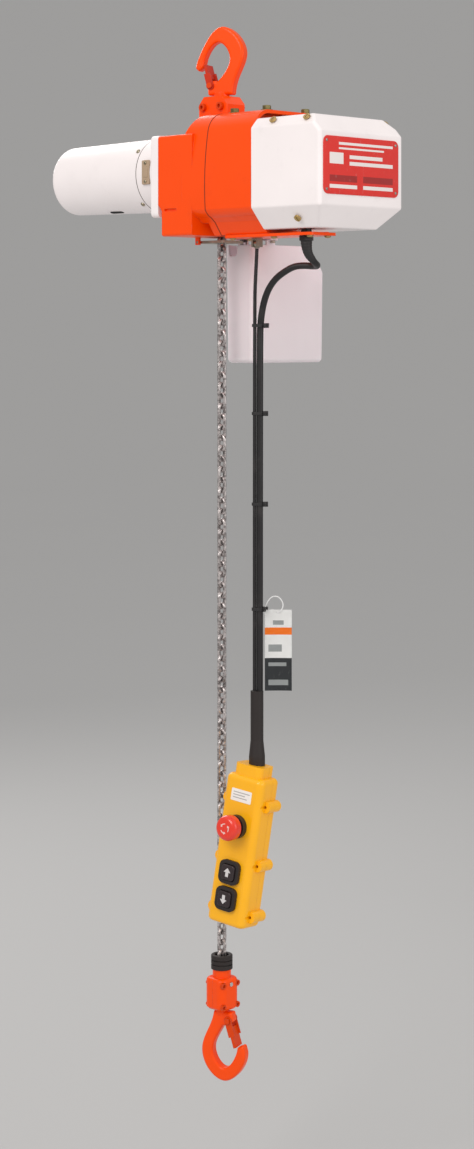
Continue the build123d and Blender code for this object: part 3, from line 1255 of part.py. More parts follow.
LOAD_HOOK_THICK = 13.0
LOAD_LATCH_PIVOT = (11.0, -73.0)
with BuildPart() as load_hook:
    with BuildSketch(load_hook_plane.offset(-LOAD_HOOK_THICK / 2)) as load_outline:
        with BuildLine():
            spine = Spline((-8, -64), (-11, -76), (-23, -108), (-12, -135), (5, -143), (23, -132), (31.5, -108))
            point = Polyline(spine @ 1, (29, -99.5), (21.5, -103))
            seat = Spline(point @ 1, (18.5, -114), (5, -128), (-9, -111), (-4, -93), (4, -80))
            Polyline(seat @ 1, (11, -79), (16.5, -74), (15, -64), spine @ 0)
        make_face()
        fillet(load_outline.vertices(), HOOK_CORNER)
    extrude(amount=LOAD_HOOK_THICK)
    load_depth = Axis(load_hook_plane.origin, load_hook_plane.z_dir)
    fillet(load_hook.faces().sort_by(load_depth)[0].edges(), 3.2)
    fillet(load_hook.faces().sort_by(load_depth)[-1].edges(), 3.2)
    with BuildSketch(Plane.XY.offset(BLOCK_TOP - 68)):
        Circle(SWIVEL_SHANK_RADIUS)
    extrude(amount=SWIVEL_COLLAR_Z[0] - BLOCK_TOP + 68.5)
    with BuildSketch(Plane.XY.offset(SWIVEL_COLLAR_Z[0])):
        Circle(SWIVEL_COLLAR_RADIUS)
    extrude(amount=SWIVEL_COLLAR_Z[1] - SWIVEL_COLLAR_Z[0])
    with BuildSketch(load_hook_plane.offset(-LOAD_HOOK_THICK)):
        with Locations(LOAD_LATCH_PIVOT):
            Circle(LATCH_PIN_RADIUS + RUNNING)
    extrude(amount=2 * LOAD_HOOK_THICK, mode=Mode.SUBTRACT)
load_hook.part.label = "load_hook"

load_latch = latch_block(load_hook_plane, LOAD_LATCH_PIVOT, 31, -73, LOAD_HOOK_THICK)
load_latch.part.label = "load_latch"
load_latch_pin = latch_pin_block(load_hook_plane, LOAD_LATCH_PIVOT, LOAD_HOOK_THICK)
load_latch_pin.part.label = "load_latch_pin"

# ================================================================ write the parts
PIECES = [
    suspension_hook, top_latch, top_latch_pin, hook_yoke, yoke_bolts, load_chain, chain_on_sheave,
    stowed_chain, load_sheave, load_gear, big_gear, layshaft_pinion, rotor_shaft, rotor_core, commutator,
    cooling_fan, field_magnets, carbon_brushes, motor_flange, motor_tube, brake_coil, brake_disc,
    bracket_casting, gear_case, casting_bolts, bearings, base_plate, chain_guide, limit_switch, limit_lever,
    control_cover, cover_screws, control_board, contactors, cable_gland, wire_anchor, chain_container,
    container_bolts, control_cable, strain_wire, wire_eye, pendant_boot, pendant_front, pendant_back,
    pendant_screws, button_bezels, *keys, estop_collar, estop_stem, estop_head, switch_block, bumper,
    block_left, block_right, block_bolts, chain_pin, load_hook, load_latch, load_latch_pin,
]
for piece in PIECES:
    export_step(piece.part, f"parts/{piece.part.label}.step")
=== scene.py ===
import json
import math

import bmesh
import bpy
from mathutils import Matrix, Vector


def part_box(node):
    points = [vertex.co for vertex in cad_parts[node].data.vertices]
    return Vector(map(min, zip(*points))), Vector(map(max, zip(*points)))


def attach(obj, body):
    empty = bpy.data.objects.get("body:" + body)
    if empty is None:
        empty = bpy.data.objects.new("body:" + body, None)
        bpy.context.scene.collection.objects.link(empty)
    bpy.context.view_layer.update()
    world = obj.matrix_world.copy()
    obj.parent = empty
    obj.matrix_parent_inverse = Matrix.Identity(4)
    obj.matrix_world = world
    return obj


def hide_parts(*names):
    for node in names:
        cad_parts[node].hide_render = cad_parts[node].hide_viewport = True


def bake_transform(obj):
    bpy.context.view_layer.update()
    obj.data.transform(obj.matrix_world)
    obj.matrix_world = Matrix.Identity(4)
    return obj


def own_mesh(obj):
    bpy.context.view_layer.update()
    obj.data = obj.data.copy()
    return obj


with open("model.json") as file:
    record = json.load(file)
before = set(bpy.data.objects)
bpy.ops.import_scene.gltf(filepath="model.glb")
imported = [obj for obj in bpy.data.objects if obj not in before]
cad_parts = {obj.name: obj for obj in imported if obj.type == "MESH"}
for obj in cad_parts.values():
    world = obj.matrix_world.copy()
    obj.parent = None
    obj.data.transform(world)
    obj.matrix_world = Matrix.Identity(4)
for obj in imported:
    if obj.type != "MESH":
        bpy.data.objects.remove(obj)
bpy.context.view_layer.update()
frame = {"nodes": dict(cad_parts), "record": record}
NODES = frame["nodes"]

bl_info = {
    "name": "Electric chain hoist",
    "version": (1, 0, 0),
    "blender": (4, 5, 0),
    "location": "3D View > Sidebar > Hoist",
    "description": "Dresses the packed chain hoist: chain, control line, labels, finishes and studio",
    "category": "Object",
}

MM = 0.001


# ---------------------------------------------------------------- shader arithmetic
class Value:
    """A shader socket that can stand in a Python expression."""

    def __init__(self, graph, socket):
        self.graph = graph
        self.socket = socket

    def _math(self, operation, other, swapped=False):
        first, second = (other, self) if swapped else (self, other)
        made = self.graph.node("ShaderNodeMath", {"operation": operation}, {0: first, 1: second})
        return Value(self.graph, made.outputs[0])

    def __add__(self, other):
        return self._math("ADD", other)

    def __radd__(self, other):
        return self._math("ADD", other, True)

    def __sub__(self, other):
        return self._math("SUBTRACT", other)

    def __rsub__(self, other):
        return self._math("SUBTRACT", other, True)

    def __mul__(self, other):
        return self._math("MULTIPLY", other)

    def __rmul__(self, other):
        return self._math("MULTIPLY", other, True)

    def __truediv__(self, other):
        return self._math("DIVIDE", other)

    def __rtruediv__(self, other):
        return self._math("DIVIDE", other, True)

    def __pow__(self, other):
        return self._math("POWER", other)

    def __gt__(self, other):
        return self._math("GREATER_THAN", other)

    def __lt__(self, other):
        return self._math("LESS_THAN", other)


class Graph:
    """One material's nodes, each made from its type, its settings and its sockets."""

    def __init__(self, name):
        self.material = bpy.data.materials.new(name)
        self.material.use_nodes = True
        self.tree = self.material.node_tree
        self.tree.nodes.clear()

    def node(self, kind, settings=None, sockets=None):
        made = self.tree.nodes.new(kind)
        for key, value in (settings or {}).items():
            if key == "stops":
                self._set_stops(made, value)
            else:
                setattr(made, key, value)
        for key, value in (sockets or {}).items():
            if isinstance(value, Value):
                self.tree.links.new(value.socket, made.inputs[key])
            else:
                made.inputs[key].default_value = value
        return made

    def _set_stops(self, made, stops):
        ramp = made.color_ramp
        while len(ramp.elements) < len(stops):
            ramp.elements.new(0.5)
        for element, (position, colour) in zip(ramp.elements, stops):
            element.position = position
            element.color = colour

    def out(self, made, output=0):
        return Value(self, made.outputs[output])

    def place(self):
        return self.out(self.node("ShaderNodeTexCoord"), "Object")

    def noise(self, scale, detail=3.0, rough=0.5, stretch=(1, 1, 1)):
        """Noise between 0 and 1 over the object; scale is in features per metre."""
        mapped = self.node(
            "ShaderNodeMapping", {}, {"Vector": self.place(), "Scale": stretch}
        )
        made = self.node(
            "ShaderNodeTexNoise", {}, {"Vector": self.out(mapped), "Scale": scale, "Detail": detail, "Roughness": rough}
        )
        return self.out(made)

    def ramp(self, value, low, high):
        """0 below low, 1 above high."""
        made = self.node(
            "ShaderNodeMapRange", {"clamp": True}, {"Value": value, "From Min": low, "From Max": high}
        )
        return self.out(made)

    def blend(self, share, first, second):
        """Colour between first and second."""
        made = self.node("ShaderNodeMix", {"data_type": "RGBA"}, {0: share, 6: first, 7: second})
        return self.out(made, 2)

    def edges(self, radius):
        """(mask that is 1 on sharp outer edges, rounded normal)."""
        rounded = self.node("ShaderNodeBevel", {"samples": 4}, {"Radius": radius})
        geometry = self.node("ShaderNodeNewGeometry")
        match = self.node(
            "ShaderNodeVectorMath",
            {"operation": "DOT_PRODUCT"},
            {0: self.out(rounded), 1: self.out(geometry, "Normal")},
        )
        mask = self.ramp(1.0 - self.out(match, "Value"), 0.02, 0.22)
        return mask, self.out(rounded)

    def surface(self, constants, base, roughness, height=None, depth=0.0, normal=None, metallic=None, alpha=None):
        """Principled surface: constants on its own sockets, and what varies on the few that may."""
        shader = self.node("ShaderNodeBsdfPrincipled", {}, constants)
        links = {"Base Color": base, "Roughness": roughness}
        if metallic is not None:
            links["Metallic"] = metallic
        if alpha is not None:
            links["Alpha"] = alpha
        if height is not None:
            sockets = {"Height": height, "Distance": depth, "Strength": 1.0}
            if normal is not None:
                sockets["Normal"] = normal
            links["Normal"] = self.out(self.node("ShaderNodeBump", {}, sockets))
        elif normal is not None:
            links["Normal"] = normal
        for key, value in links.items():
            if isinstance(value, Value):
                self.tree.links.new(value.socket, shader.inputs[key])
            else:
                shader.inputs[key].default_value = value
        output = self.node("ShaderNodeOutputMaterial")
        self.tree.links.new(shader.outputs[0], output.inputs[0])
        return self.material


def rgba(colour, factor=1.0):
    """Four-part colour, made lighter or darker by a factor."""
    return (colour[0] * factor, colour[1] * factor, colour[2] * factor, 1.0)


# ---------------------------------------------------------------- finishes
def gloss_paint(name, colour, worn, peel=0.00004, wear=0.55):
    """Sprayed gloss paint on a casting: orange peel, faint mottling, thin wear on the edges."""
    graph = Graph(name)
    mottle = graph.noise(14.0, 4.0)
    fine = graph.noise(900.0, 2.0)
    patch_noise = graph.ramp(graph.noise(35.0, 6.0, 0.65), 0.58, 0.8)
    edge, normal = graph.edges(0.0009)
    chips = edge * graph.ramp(graph.noise(420.0, 4.0, 0.7), 0.5, 0.62) * wear
    body = graph.blend(mottle, rgba(colour, 0.93), rgba(colour, 1.05))
    dusty = graph.blend(patch_noise * 0.18, body, rgba(colour, 0.62))
    base = graph.blend(chips, dusty, rgba(worn))
    roughness = 0.27 + mottle * 0.08 + patch_noise * 0.12 + chips * 0.25
    height = fine * 0.6 + graph.noise(240.0, 2.0)
    return graph.surface(
        {"Coat Roughness": 0.12, "Coat Weight": 0.1, "Specular IOR Level": 0.2}, base, roughness, height, peel, normal
    )


def steel(name, colour, rough=0.3, grain=(1, 1, 1), dark=0.55, edge_radius=0.0004):
    """Plated or ground steel with fine grain and darker patches."""
    graph = Graph(name)
    patches = graph.noise(60.0, 5.0, 0.6)
    streaks = graph.noise(700.0, 3.0, 0.6, grain)
    normal = graph.edges(edge_radius)[1]
    base = graph.blend(graph.ramp(patches, 0.35, 0.75), rgba(colour, dark), rgba(colour))
    roughness = rough + patches * 0.12 + streaks * 0.1
    return graph.surface({"Metallic": 1.0}, base, roughness, streaks, 0.00001, normal)


def moulded(name, colour, rough=0.42, texture=0.00003, grain=1400.0, constants=None):
    """Moulded plastic or rubber: fine spark texture, faint scuffs and handling marks."""
    graph = Graph(name)
    spark = graph.noise(grain, 2.0)
    cloud = graph.noise(22.0, 4.0)
    scuff = graph.ramp(graph.noise(160.0, 6.0, 0.7, (1, 1, 0.25)), 0.62, 0.75)
    edge, normal = graph.edges(0.0006)
    base = graph.blend(cloud, rgba(colour, 0.92), rgba(colour, 1.06))
    worn = graph.blend(edge * 0.25 + scuff * 0.08, base, rgba([min(1.0, part * 1.25 + 0.03) for part in colour]))
    roughness = rough + cloud * 0.08 + scuff * 0.12
    return graph.surface(constants or {}, worn, roughness, spark, texture, normal)


def pressed(name, colour, rough=0.4):
    """Painted pressed sheet: thin paint, so edges and rubbing marks show sooner."""
    return gloss_paint(name, colour, (0.32, 0.3, 0.28), 0.00003, 0.8)


def milky_plastic(name, colour):
    """Translucent moulded bucket: light gets through and the load inside shades it."""
    graph = Graph(name)
    cloud = graph.noise(9.0, 3.0)
    flow = graph.noise(55.0, 4.0, 0.6, (1, 1, 0.2))
    scuff = graph.ramp(graph.noise(260.0, 6.0, 0.7, (1, 1, 0.3)), 0.6, 0.75)
    base = graph.blend(cloud, rgba(colour, 0.9), rgba(colour, 1.03))
    streaked = graph.blend(flow * 0.2, base, rgba(colour, 0.82))
    constants = {
        "Subsurface Weight": 0.35,
        "Subsurface Radius": (0.012, 0.009, 0.010),
        "Subsurface Scale": 1.0,
        "Transmission Weight": 0.06,
        "IOR": 1.5,
    }
    return graph.surface(constants, streaked, 0.34 + scuff * 0.2 + cloud * 0.08, flow, 0.00008, graph.edges(0.001)[1])


def jacket(name, colour):
    """Extruded cable jacket: fine lengthwise drag, dusty patches, soft gloss."""
    graph = Graph(name)
    drag = graph.noise(900.0, 3.0, 0.6, (1, 1, 0.06))
    dust = graph.ramp(graph.noise(45.0, 5.0, 0.65), 0.5, 0.8)
    base = graph.blend(dust * 0.35, rgba(colour), rgba((0.07, 0.06, 0.058)))
    return graph.surface({"IOR": 1.48}, base, 0.38 + dust * 0.2 + drag * 0.08, drag, 0.00006)


def laminate(name, ground, marks, pitch):
    """Laminated core or circuit board: ground colour crossed by fine regular lines."""
    graph = Graph(name)
    wave = graph.node(
        "ShaderNodeTexWave", {"bands_direction": "X"}, {"Vector": graph.place(), "Scale": pitch, "Distortion": 1.0}
    )
    lines = graph.ramp(graph.out(wave, 1), 0.45, 0.6)
    base = graph.blend(lines, rgba(ground), rgba(marks))
    return graph.surface({"Metallic": 0.2}, base, 0.45 + lines * 0.1, graph.out(wave, 1), 0.0001)


def bar(u, v, low, high):
    """Mask that is 1 in the rectangle between two corners of a printed face."""
    return (u > low[0]) * (u < high[0]) * (v > low[1]) * (v < high[1])


def printed(name, ground, patches, rough=0.3, constants=None):
    """Printed face in its own plane: patches are (colour, [(low corner, high corner), ...]) in metres."""
    graph = Graph(name)
    split = graph.node("ShaderNodeSeparateXYZ", {}, {"Vector": graph.place()})
    u, v = graph.out(split, 0), graph.out(split, 1)
    fade = graph.noise(120.0, 4.0)
    base = graph.blend(fade, rgba(ground, 0.93), rgba(ground, 1.04))
    for colour, corners in patches:
        for low, high in corners:
            base = graph.blend(bar(u, v, low, high), base, rgba(colour))
    scratch = graph.ramp(graph.noise(500.0, 5.0, 0.7, (1, 0.2, 1)), 0.62, 0.7)
    worn = graph.blend(scratch * 0.25, base, rgba((0.55, 0.52, 0.5)))
    return graph.surface(constants or {}, worn, rough + fade * 0.1 + scratch * 0.2, fade, 0.00003)


# ---------------------------------------------------------------- shapes
def finished(mesh_maker, name, finish, smooth=True):
    """Object from a bmesh, shaded smooth with sharp creases kept, wearing one finish."""
    mesh = bpy.data.meshes.new(name)
    bmesh.ops.recalc_face_normals(mesh_maker, faces=mesh_maker.faces)
    mesh_maker.to_mesh(mesh)
    mesh_maker.free()
    if smooth:
        mesh.shade_smooth()
        mesh.set_sharp_from_angle(angle=math.radians(38))
    mesh.materials.append(finish)
    made = bpy.data.objects.new(name, mesh)
    bpy.context.scene.collection.objects.link(made)
    return made


def frame_at(origin, right, out):
    """Placement whose x runs along right and whose z points out of a face."""
    z = Vector(out).normalized()
    x = Vector(right)
    x = (x - x.dot(z) * z).normalized()
    y = z.cross(x)
    rows = [[x[row], y[row], z[row], origin[row]] for row in range(3)]
    return Matrix(rows + [[0, 0, 0, 1]])


def rounded_outline(width, height, corner, steps=6, centre=(0, 0)):
    """Points round a rounded rectangle."""
    points = []
    for quadrant, (sx, sy) in enumerate(((1, 1), (-1, 1), (-1, -1), (1, -1))):
        middle = (centre[0] + sx * (width / 2 - corner), centre[1] + sy * (height / 2 - corner))
        for step in range(steps + 1):
            angle = math.radians(90 * quadrant + 90 * step / steps)
            points.append((middle[0] + corner * math.cos(angle), middle[1] + corner * math.sin(angle)))
    return points


def prism(shape, outline, low, high, edge=0.0):
    """Outline between two heights, its upper rim rounded over by edge."""
    rings = [(low, 0.0)]
    if edge:
        for step in range(5):
            angle = math.radians(90 * step / 4)
            rings.append((high - edge + edge * math.sin(angle), edge * (1 - math.cos(angle))))
    else:
        rings.append((high, 0.0))
    middle = (
        sum(point[0] for point in outline) / len(outline),
        sum(point[1] for point in outline) / len(outline),
    )
    half = max(max(abs(point[0] - middle[0]), abs(point[1] - middle[1])) for point in outline)
    made = []
    for height, inset in rings:
        share = 1 - inset / half
        made.append(
            [
                shape.verts.new(
                    (middle[0] + (x - middle[0]) * share, middle[1] + (y - middle[1]) * share, height)
                )
                for x, y in outline
            ]
        )
    for lower, upper in zip(made, made[1:]):
        join_rings(shape, lower, upper)
    shape.faces.new(made[0])
    shape.faces.new(made[-1])


def join_rings(shape, first, second):
    """Quads between two closed rings with the same number of points."""
    count = len(first)
    for index in range(count):
        following = (index + 1) % count
        shape.faces.new((first[index], first[following], second[following], second[index]))


def lathe(shape, profile, steps=32, centre=(0, 0)):
    """Profile of (radius, height) pairs turned round the local z axis, its ends closed."""
    rings = []
    for radius, height in profile:
        ring = []
        for step in range(steps):
            angle = 2 * math.pi * step / steps
            ring.append(
                shape.verts.new(
                    (centre[0] + radius * math.cos(angle), centre[1] + radius * math.sin(angle), height)
                )
            )
        rings.append(ring)
    for first, second in zip(rings, rings[1:]):
        join_rings(shape, first, second)
    shape.faces.new(rings[0])
    shape.faces.new(rings[-1])


def sweep(shape, path, radius_at, steps=16, closed=False):
    """Round tube along a path; radius_at takes the distance from the start."""
    count = len(path)
    side = None
    travelled = 0.0
    rings = []
    for index, point in enumerate(path):
        before = path[index - 1] if index or closed else path[0]
        after = path[(index + 1) % count] if index < count - 1 or closed else path[-1]
        tangent = (after - before).normalized()
        if side is None:
            side = tangent.orthogonal()
        side = (side - side.dot(tangent) * tangent).normalized()
        other = tangent.cross(side)
        if index:
            travelled += (point - path[index - 1]).length
        radius = radius_at(travelled)
        ring = []
        for step in range(steps):
            angle = 2 * math.pi * step / steps
            ring.append(shape.verts.new(point + (side * math.cos(angle) + other * math.sin(angle)) * radius))
        rings.append(ring)
    for first, second in zip(rings, rings[1:]):
        join_rings(shape, first, second)
    if closed:
        join_rings(shape, rings[-1], rings[0])
    else:
        shape.faces.new(rings[0])
        shape.faces.new(rings[-1])


def smooth_line(name, points, resolution=10):
    """Points along the smooth line that a route's control points give."""
    curve = bpy.data.curves.new(name, "CURVE")
    curve.dimensions = "3D"
    curve.resolution_u = resolution
    spline = curve.splines.new("NURBS")
    spline.points.add(len(points) - 1)
    for target, point in zip(spline.points, points):
        target.co = (*point, 1.0)
    spline.order_u = 3
    spline.use_endpoint_u = True
    holder = bpy.data.objects.new(name, curve)
    mesh = bpy.data.meshes.new_from_object(holder)
    line = [vertex.co.copy() for vertex in mesh.vertices]
    bpy.data.objects.remove(holder)
    bpy.data.curves.remove(curve)
    bpy.data.meshes.remove(mesh)
    return line


def at_height(line, height):
    """Where a hanging line passes a height."""
    for upper, lower in zip(line, line[1:]):
        if upper.z >= height >= lower.z and upper.z > lower.z:
            return upper.lerp(lower, (upper.z - height) / (upper.z - lower.z))
    return line[-1]


# ---------------------------------------------------------------- where things are
SUSPENDED = "hoist"
LINE_BODY = "control_line"
CABLE_ROUTE = [
    (0.1550, -0.0240, -0.2310),
    (0.1550, -0.0240, -0.2430),
    (0.1575, -0.0145, -0.2540),
    (0.1525, -0.0025, -0.2580),
    (0.1415, 0.0015, -0.2580),
    (0.1305, -0.0025, -0.2570),
    (0.1200, -0.0070, -0.2580),
    (0.1100, -0.0110, -0.2635),
    (0.0985, -0.0135, -0.2710),
    (0.0885, -0.0145, -0.2820),
    (0.08075, -0.01425, -0.2970),
    (0.0760, -0.0140, -0.3160),
    (0.0742, -0.0139, -0.3400),
    (0.0742, -0.0139, -0.7300),
]
WIRE_ROUTE = [
    (0.0720, -0.0160, -0.2372),
    (0.0710, -0.0172, -0.2680),
    (0.0700, -0.0179, -0.3000),
    (0.0700, -0.0179, -0.7300),
]
TIE_HEIGHTS = (-0.323, -0.421, -0.522, -0.639)
SHAFT = (0.0184, -0.145)
VIEW_RIGHT = Vector((math.sqrt(0.5), math.sqrt(0.5), 0))
VIEW_OUT = Vector((math.sqrt(0.5), -math.sqrt(0.5), 0))

turn, lean = math.radians(10), math.radians(8)
PENDANT_UP = Vector((math.sin(lean) / math.sqrt(2), math.sin(lean) / math.sqrt(2), math.cos(lean))).normalized()
PENDANT_RIGHT = Vector((math.cos(turn), math.sin(turn), 0))
PENDANT_RIGHT = (PENDANT_RIGHT - PENDANT_RIGHT.dot(PENDANT_UP) * PENDANT_UP).normalized()
PENDANT_OUT = -PENDANT_UP.cross(PENDANT_RIGHT)
PENDANT_TOP = Vector((0.0705, -0.0175, -0.812))
PENDANT_HALF_DEPTH = 0.0185


def on_pendant(across, depth, proud):
    """Placement on the pendant's front, depth below its top and proud of the face."""
    origin = PENDANT_TOP + PENDANT_OUT * (PENDANT_HALF_DEPTH + proud) + PENDANT_RIGHT * across - PENDANT_UP * depth
    return frame_at(origin, PENDANT_RIGHT, PENDANT_OUT)


# ---------------------------------------------------------------- what a user may change
def colour(name, description, default):
    return bpy.props.FloatVectorProperty(
        name=name, description=description, default=default, size=3, min=0.0, max=1.0, subtype="COLOR"
    )


def length(name, description, default):
    return bpy.props.FloatProperty(
        name=name, description=description, default=default, min=0.0, subtype="DISTANCE", unit="LENGTH"
    )


class HoistColours(bpy.types.PropertyGroup):
    orange: colour("Orange", "Gloss paint of the castings, hooks and hook block", (0.93, 0.07, 0.0))
    latch_red: colour("Latch red", "Darker paint of the pressed latches", (0.52, 0.03, 0.008))
    white: colour("White", "Gloss paint of the motor and the control cover", (0.86, 0.80, 0.80))
    bucket: colour("Bucket", "Milky plastic of the chain bucket", (0.93, 0.79, 0.84))
    yellow: colour("Yellow", "Moulded shell of the pendant", (0.96, 0.45, 0.0))
    stop_red: colour("Stop red", "Mushroom head of the stop button", (0.78, 0.035, 0.015))
    plate_red: colour("Plate red", "Ground of the rating plate", (0.70, 0.02, 0.012))
    backdrop: colour("Backdrop", "Floor and sweep of the studio", (0.46, 0.46, 0.46))


class HoistSizes(bpy.types.PropertyGroup):
    chain_wire: length("Chain wire", "Wire diameter of a load chain link", 4.0 * MM)
    chain_pitch: length("Chain pitch", "Distance between link centres", 12.0 * MM)
    link_slack: length("Link slack", "How much longer than the pitch a link is inside", 0.3 * MM)
    link_inner_width: length("Link inner width", "Clear width inside a link", 5.0 * MM)
    cable_diameter: length("Cable diameter", "Outside diameter of the control cable", 7.4 * MM)
    wire_diameter: length("Wire diameter", "Outside diameter of the covered strain wire", 4.0 * MM)
    tie_width: length("Tie width", "Width of the cable ties", 3.4 * MM)
    tag_width: length("Tag width", "Width of the hang tag", 30.0 * MM)
    tag_height: length("Tag height", "Height of the hang tag", 90.0 * MM)
    plate_width: length("Plate width", "Width of the rating plate on the cover's end", 121.0 * MM)
    plate_height: length("Plate height", "Height of the rating plate", 62.0 * MM)


class HoistStudio(bpy.types.PropertyGroup):
    eye_height: length("Eye height", "How far below the top hook the level camera stands", 0.328)
    focal: bpy.props.FloatProperty(name="Lens", description="Focal length on a 36 mm sensor", default=68.93)
    brightness: bpy.props.FloatProperty(name="Sky", description="Strength of the even studio light", default=0.72)


def choices():
    scene = bpy.context.scene
    return scene.hoist_colours, scene.hoist_sizes, scene.hoist_studio


# ---------------------------------------------------------------- operators
class HOIST_OT_studio(bpy.types.Operator):
    """Camera level in front of one corner, pale sweep and soft lights"""

    bl_idname = "hoist.studio"
    bl_label = "Studio"

    def execute(self, context):
        colours, _, studio = choices()
        camera = bpy.data.cameras.new("hoist_camera")
        camera.lens = studio.focal
        camera.sensor_width = 36
        camera.shift_y = -0.2128
        camera.clip_end = 60
        holder = bpy.data.objects.new("hoist_camera", camera)
        context.scene.collection.objects.link(holder)
        holder.location = (1.790, -1.7655, -studio.eye_height)
        holder.rotation_mode = "QUATERNION"
        holder.rotation_quaternion = (-VIEW_OUT).to_track_quat("-Z", "Y")
        context.scene.camera = holder
        self.make_sweep(colours.backdrop)
        self.make_lights()
        world = bpy.data.worlds.new("studio_sky")
        world.use_nodes = True
        sky = world.node_tree.nodes["Background"]
        sky.inputs["Color"].default_value = (1.0, 0.985, 0.97, 1.0)
        sky.inputs["Strength"].default_value = studio.brightness
        context.scene.world = world
        context.scene.view_settings.view_transform = "Standard"
        return {"FINISHED"}

    def make_sweep(self, tone):
        graph = Graph("studio_sweep")
        cloud = graph.noise(0.8, 2.0)
        finish = graph.surface({}, graph.blend(cloud, rgba(tone, 0.99), rgba(tone, 1.01)), 0.9)
        shape = bmesh.new()
        floor, radius, curve, top = -1.36, 12.0, 5.0, 12.0
        profile = [(0.05, floor), (radius, floor)]
        for step in range(1, 13):
            angle = math.radians(90 * step / 12)
            profile.append((radius + curve * math.sin(angle), floor + curve * (1 - math.cos(angle))))
        profile.append((radius + curve, top))
        rings = []
        for distance, height in profile:
            steps = 64
            ring = [
                shape.verts.new(
                    (distance * math.cos(2 * math.pi * s / steps), distance * math.sin(2 * math.pi * s / steps), height)
                )
                for s in range(steps)
            ]
            rings.append(ring)
        for first, second in zip(rings, rings[1:]):
            join_rings(shape, first, second)
        shape.faces.new(rings[0])
        sweep_object = finished(shape, "studio_sweep", finish)
        sweep_object.visible_shadow = False
        sweep_object.visible_diffuse = False

    def make_lights(self):
        lamps = (
            ("key", (0.7, -2.6, 1.3), 1.6, 46, (1.0, 0.97, 0.94)),
            ("fill", (2.9, 0.2, 0.2), 1.8, 20, (1.0, 0.98, 0.96)),
            ("rim", (-2.2, 0.8, 0.8), 1.4, 22, (1.0, 0.97, 0.95)),
        )
        for name, place, size, power, tint in lamps:
            lamp = bpy.data.lights.new(name, "AREA")
            lamp.size = size
            lamp.energy = power
            lamp.color = tint
            holder = bpy.data.objects.new(name, lamp)
            bpy.context.scene.collection.objects.link(holder)
            holder.location = place
            aim = Vector((0, 0, -0.45)) - Vector(place)
            holder.rotation_mode = "QUATERNION"
            holder.rotation_quaternion = aim.to_track_quat("-Z", "Y")


class HOIST_OT_control_line(bpy.types.Operator):
    """Control cable and covered strain wire, the cable's relief and the ties that hold them together"""

    bl_idname = "hoist.control_line"
    bl_label = "Control line"

    def execute(self, context):
        _, sizes, _ = choices()
        black = jacket("cable_jacket_finish", (0.012, 0.011, 0.012))
        cable_line = smooth_line("cable_line", CABLE_ROUTE)
        wire_line = smooth_line("wire_line", WIRE_ROUTE)
        relief = self.make_relief(cable_line, sizes.cable_diameter / 2)
        cable = self.make_cord("cable", cable_line, sizes.cable_diameter / 2, black, CABLE_ROUTE[0], relief)
        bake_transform(cable)
        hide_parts("control_cable")
        wire = self.make_cord("covered_wire", wire_line, sizes.wire_diameter / 2, black, WIRE_ROUTE[0], None)
        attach(wire, LINE_BODY)
        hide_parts("strain_wire")
        tie_black = moulded("tie_nylon", (0.02, 0.019, 0.02), 0.35)
        for number, height in enumerate(TIE_HEIGHTS):
            self.make_tie(number, height, at_height(cable_line, height), at_height(wire_line, height), tie_black)
        return {"FINISHED"}

    def make_cord(self, name, line, radius, finish, start, relief):
        shape = bmesh.new()
        sweep(shape, line, lambda travelled: radius, 20)
        cord = finished(shape, name, finish)
        return cord

    def make_relief(self, line, radius):
        """Ribbed tapered sleeve over the cable's first stretch below the gland."""
        sleeve_length = 0.024
        wall = 0.0022
        travelled = 0.0
        near = [line[0]]
        for before, after in zip(line, line[1:]):
            travelled += (after - before).length
            near.append(after)
            if travelled > sleeve_length:
                break

        def radius_at(distance):
            share = min(1.0, distance / sleeve_length)
            rib = 0.0004 * (0.5 + 0.5 * math.cos(distance / 0.003 * 2 * math.pi))
            return radius + wall * (1 - share) + rib * (1 - share) + 0.0003

        fine = []
        for before, after in zip(near, near[1:]):
            pieces = max(1, int((after - before).length / 0.0005))
            fine.extend(before.lerp(after, piece / pieces) for piece in range(pieces))
        shape = bmesh.new()
        sweep(shape, fine, radius_at, 20)
        relief = finished(shape, "cable_relief", moulded("relief_rubber", (0.018, 0.016, 0.017), 0.5))
        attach(relief, SUSPENDED)
        return relief

    def make_tie(self, number, height, cable_at, wire_at, finish):
        """Strap pulled round both cords, its ratchet head and its cut tail."""
        _, sizes, _ = choices()
        across = (cable_at - wire_at).to_2d().normalized()
        gap = (cable_at - wire_at).to_2d().length
        middle = (cable_at + wire_at) / 2
        place = frame_at((middle.x, middle.y, height), (across.x, across.y, 0), (0, 0, 1))
        shape = bmesh.new()
        inner, outer = [], []
        steps = 40
        for step in range(steps):
            angle = 2 * math.pi * step / steps
            toward = Vector((math.cos(angle), math.sin(angle)))
            reach_cable = Vector((gap / 2, 0)) + toward * (sizes.cable_diameter / 2 + 0.0001)
            reach_wire = Vector((-gap / 2, 0)) + toward * (sizes.wire_diameter / 2 + 0.0001)
            best = reach_cable if reach_cable.dot(toward) > reach_wire.dot(toward) else reach_wire
            inner.append(best)
            outer.append(best + toward * 0.0011)
        half = sizes.tie_width / 2
        rings = []
        for points, level in ((inner, -half), (outer, -half), (outer, half), (inner, half)):
            rings.append([shape.verts.new((p.x, p.y, level)) for p in points])
        for first, second in zip(rings, rings[1:] + rings[:1]):
            join_rings(shape, first, second)
        head_x = gap / 2 + sizes.cable_diameter / 2 + 0.0028
        prism(shape, rounded_outline(0.0056, 0.0062, 0.0008, 3, (head_x, 0)), -half - 0.001, half + 0.001, 0.0004)
        prism(shape, rounded_outline(0.0012, 0.0058, 0.0004, 2, (head_x, -0.0055)), -half, half)
        tie = finished(shape, f"cable_tie_{number + 1}", finish)
        tie.matrix_world = place
        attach(tie, LINE_BODY)


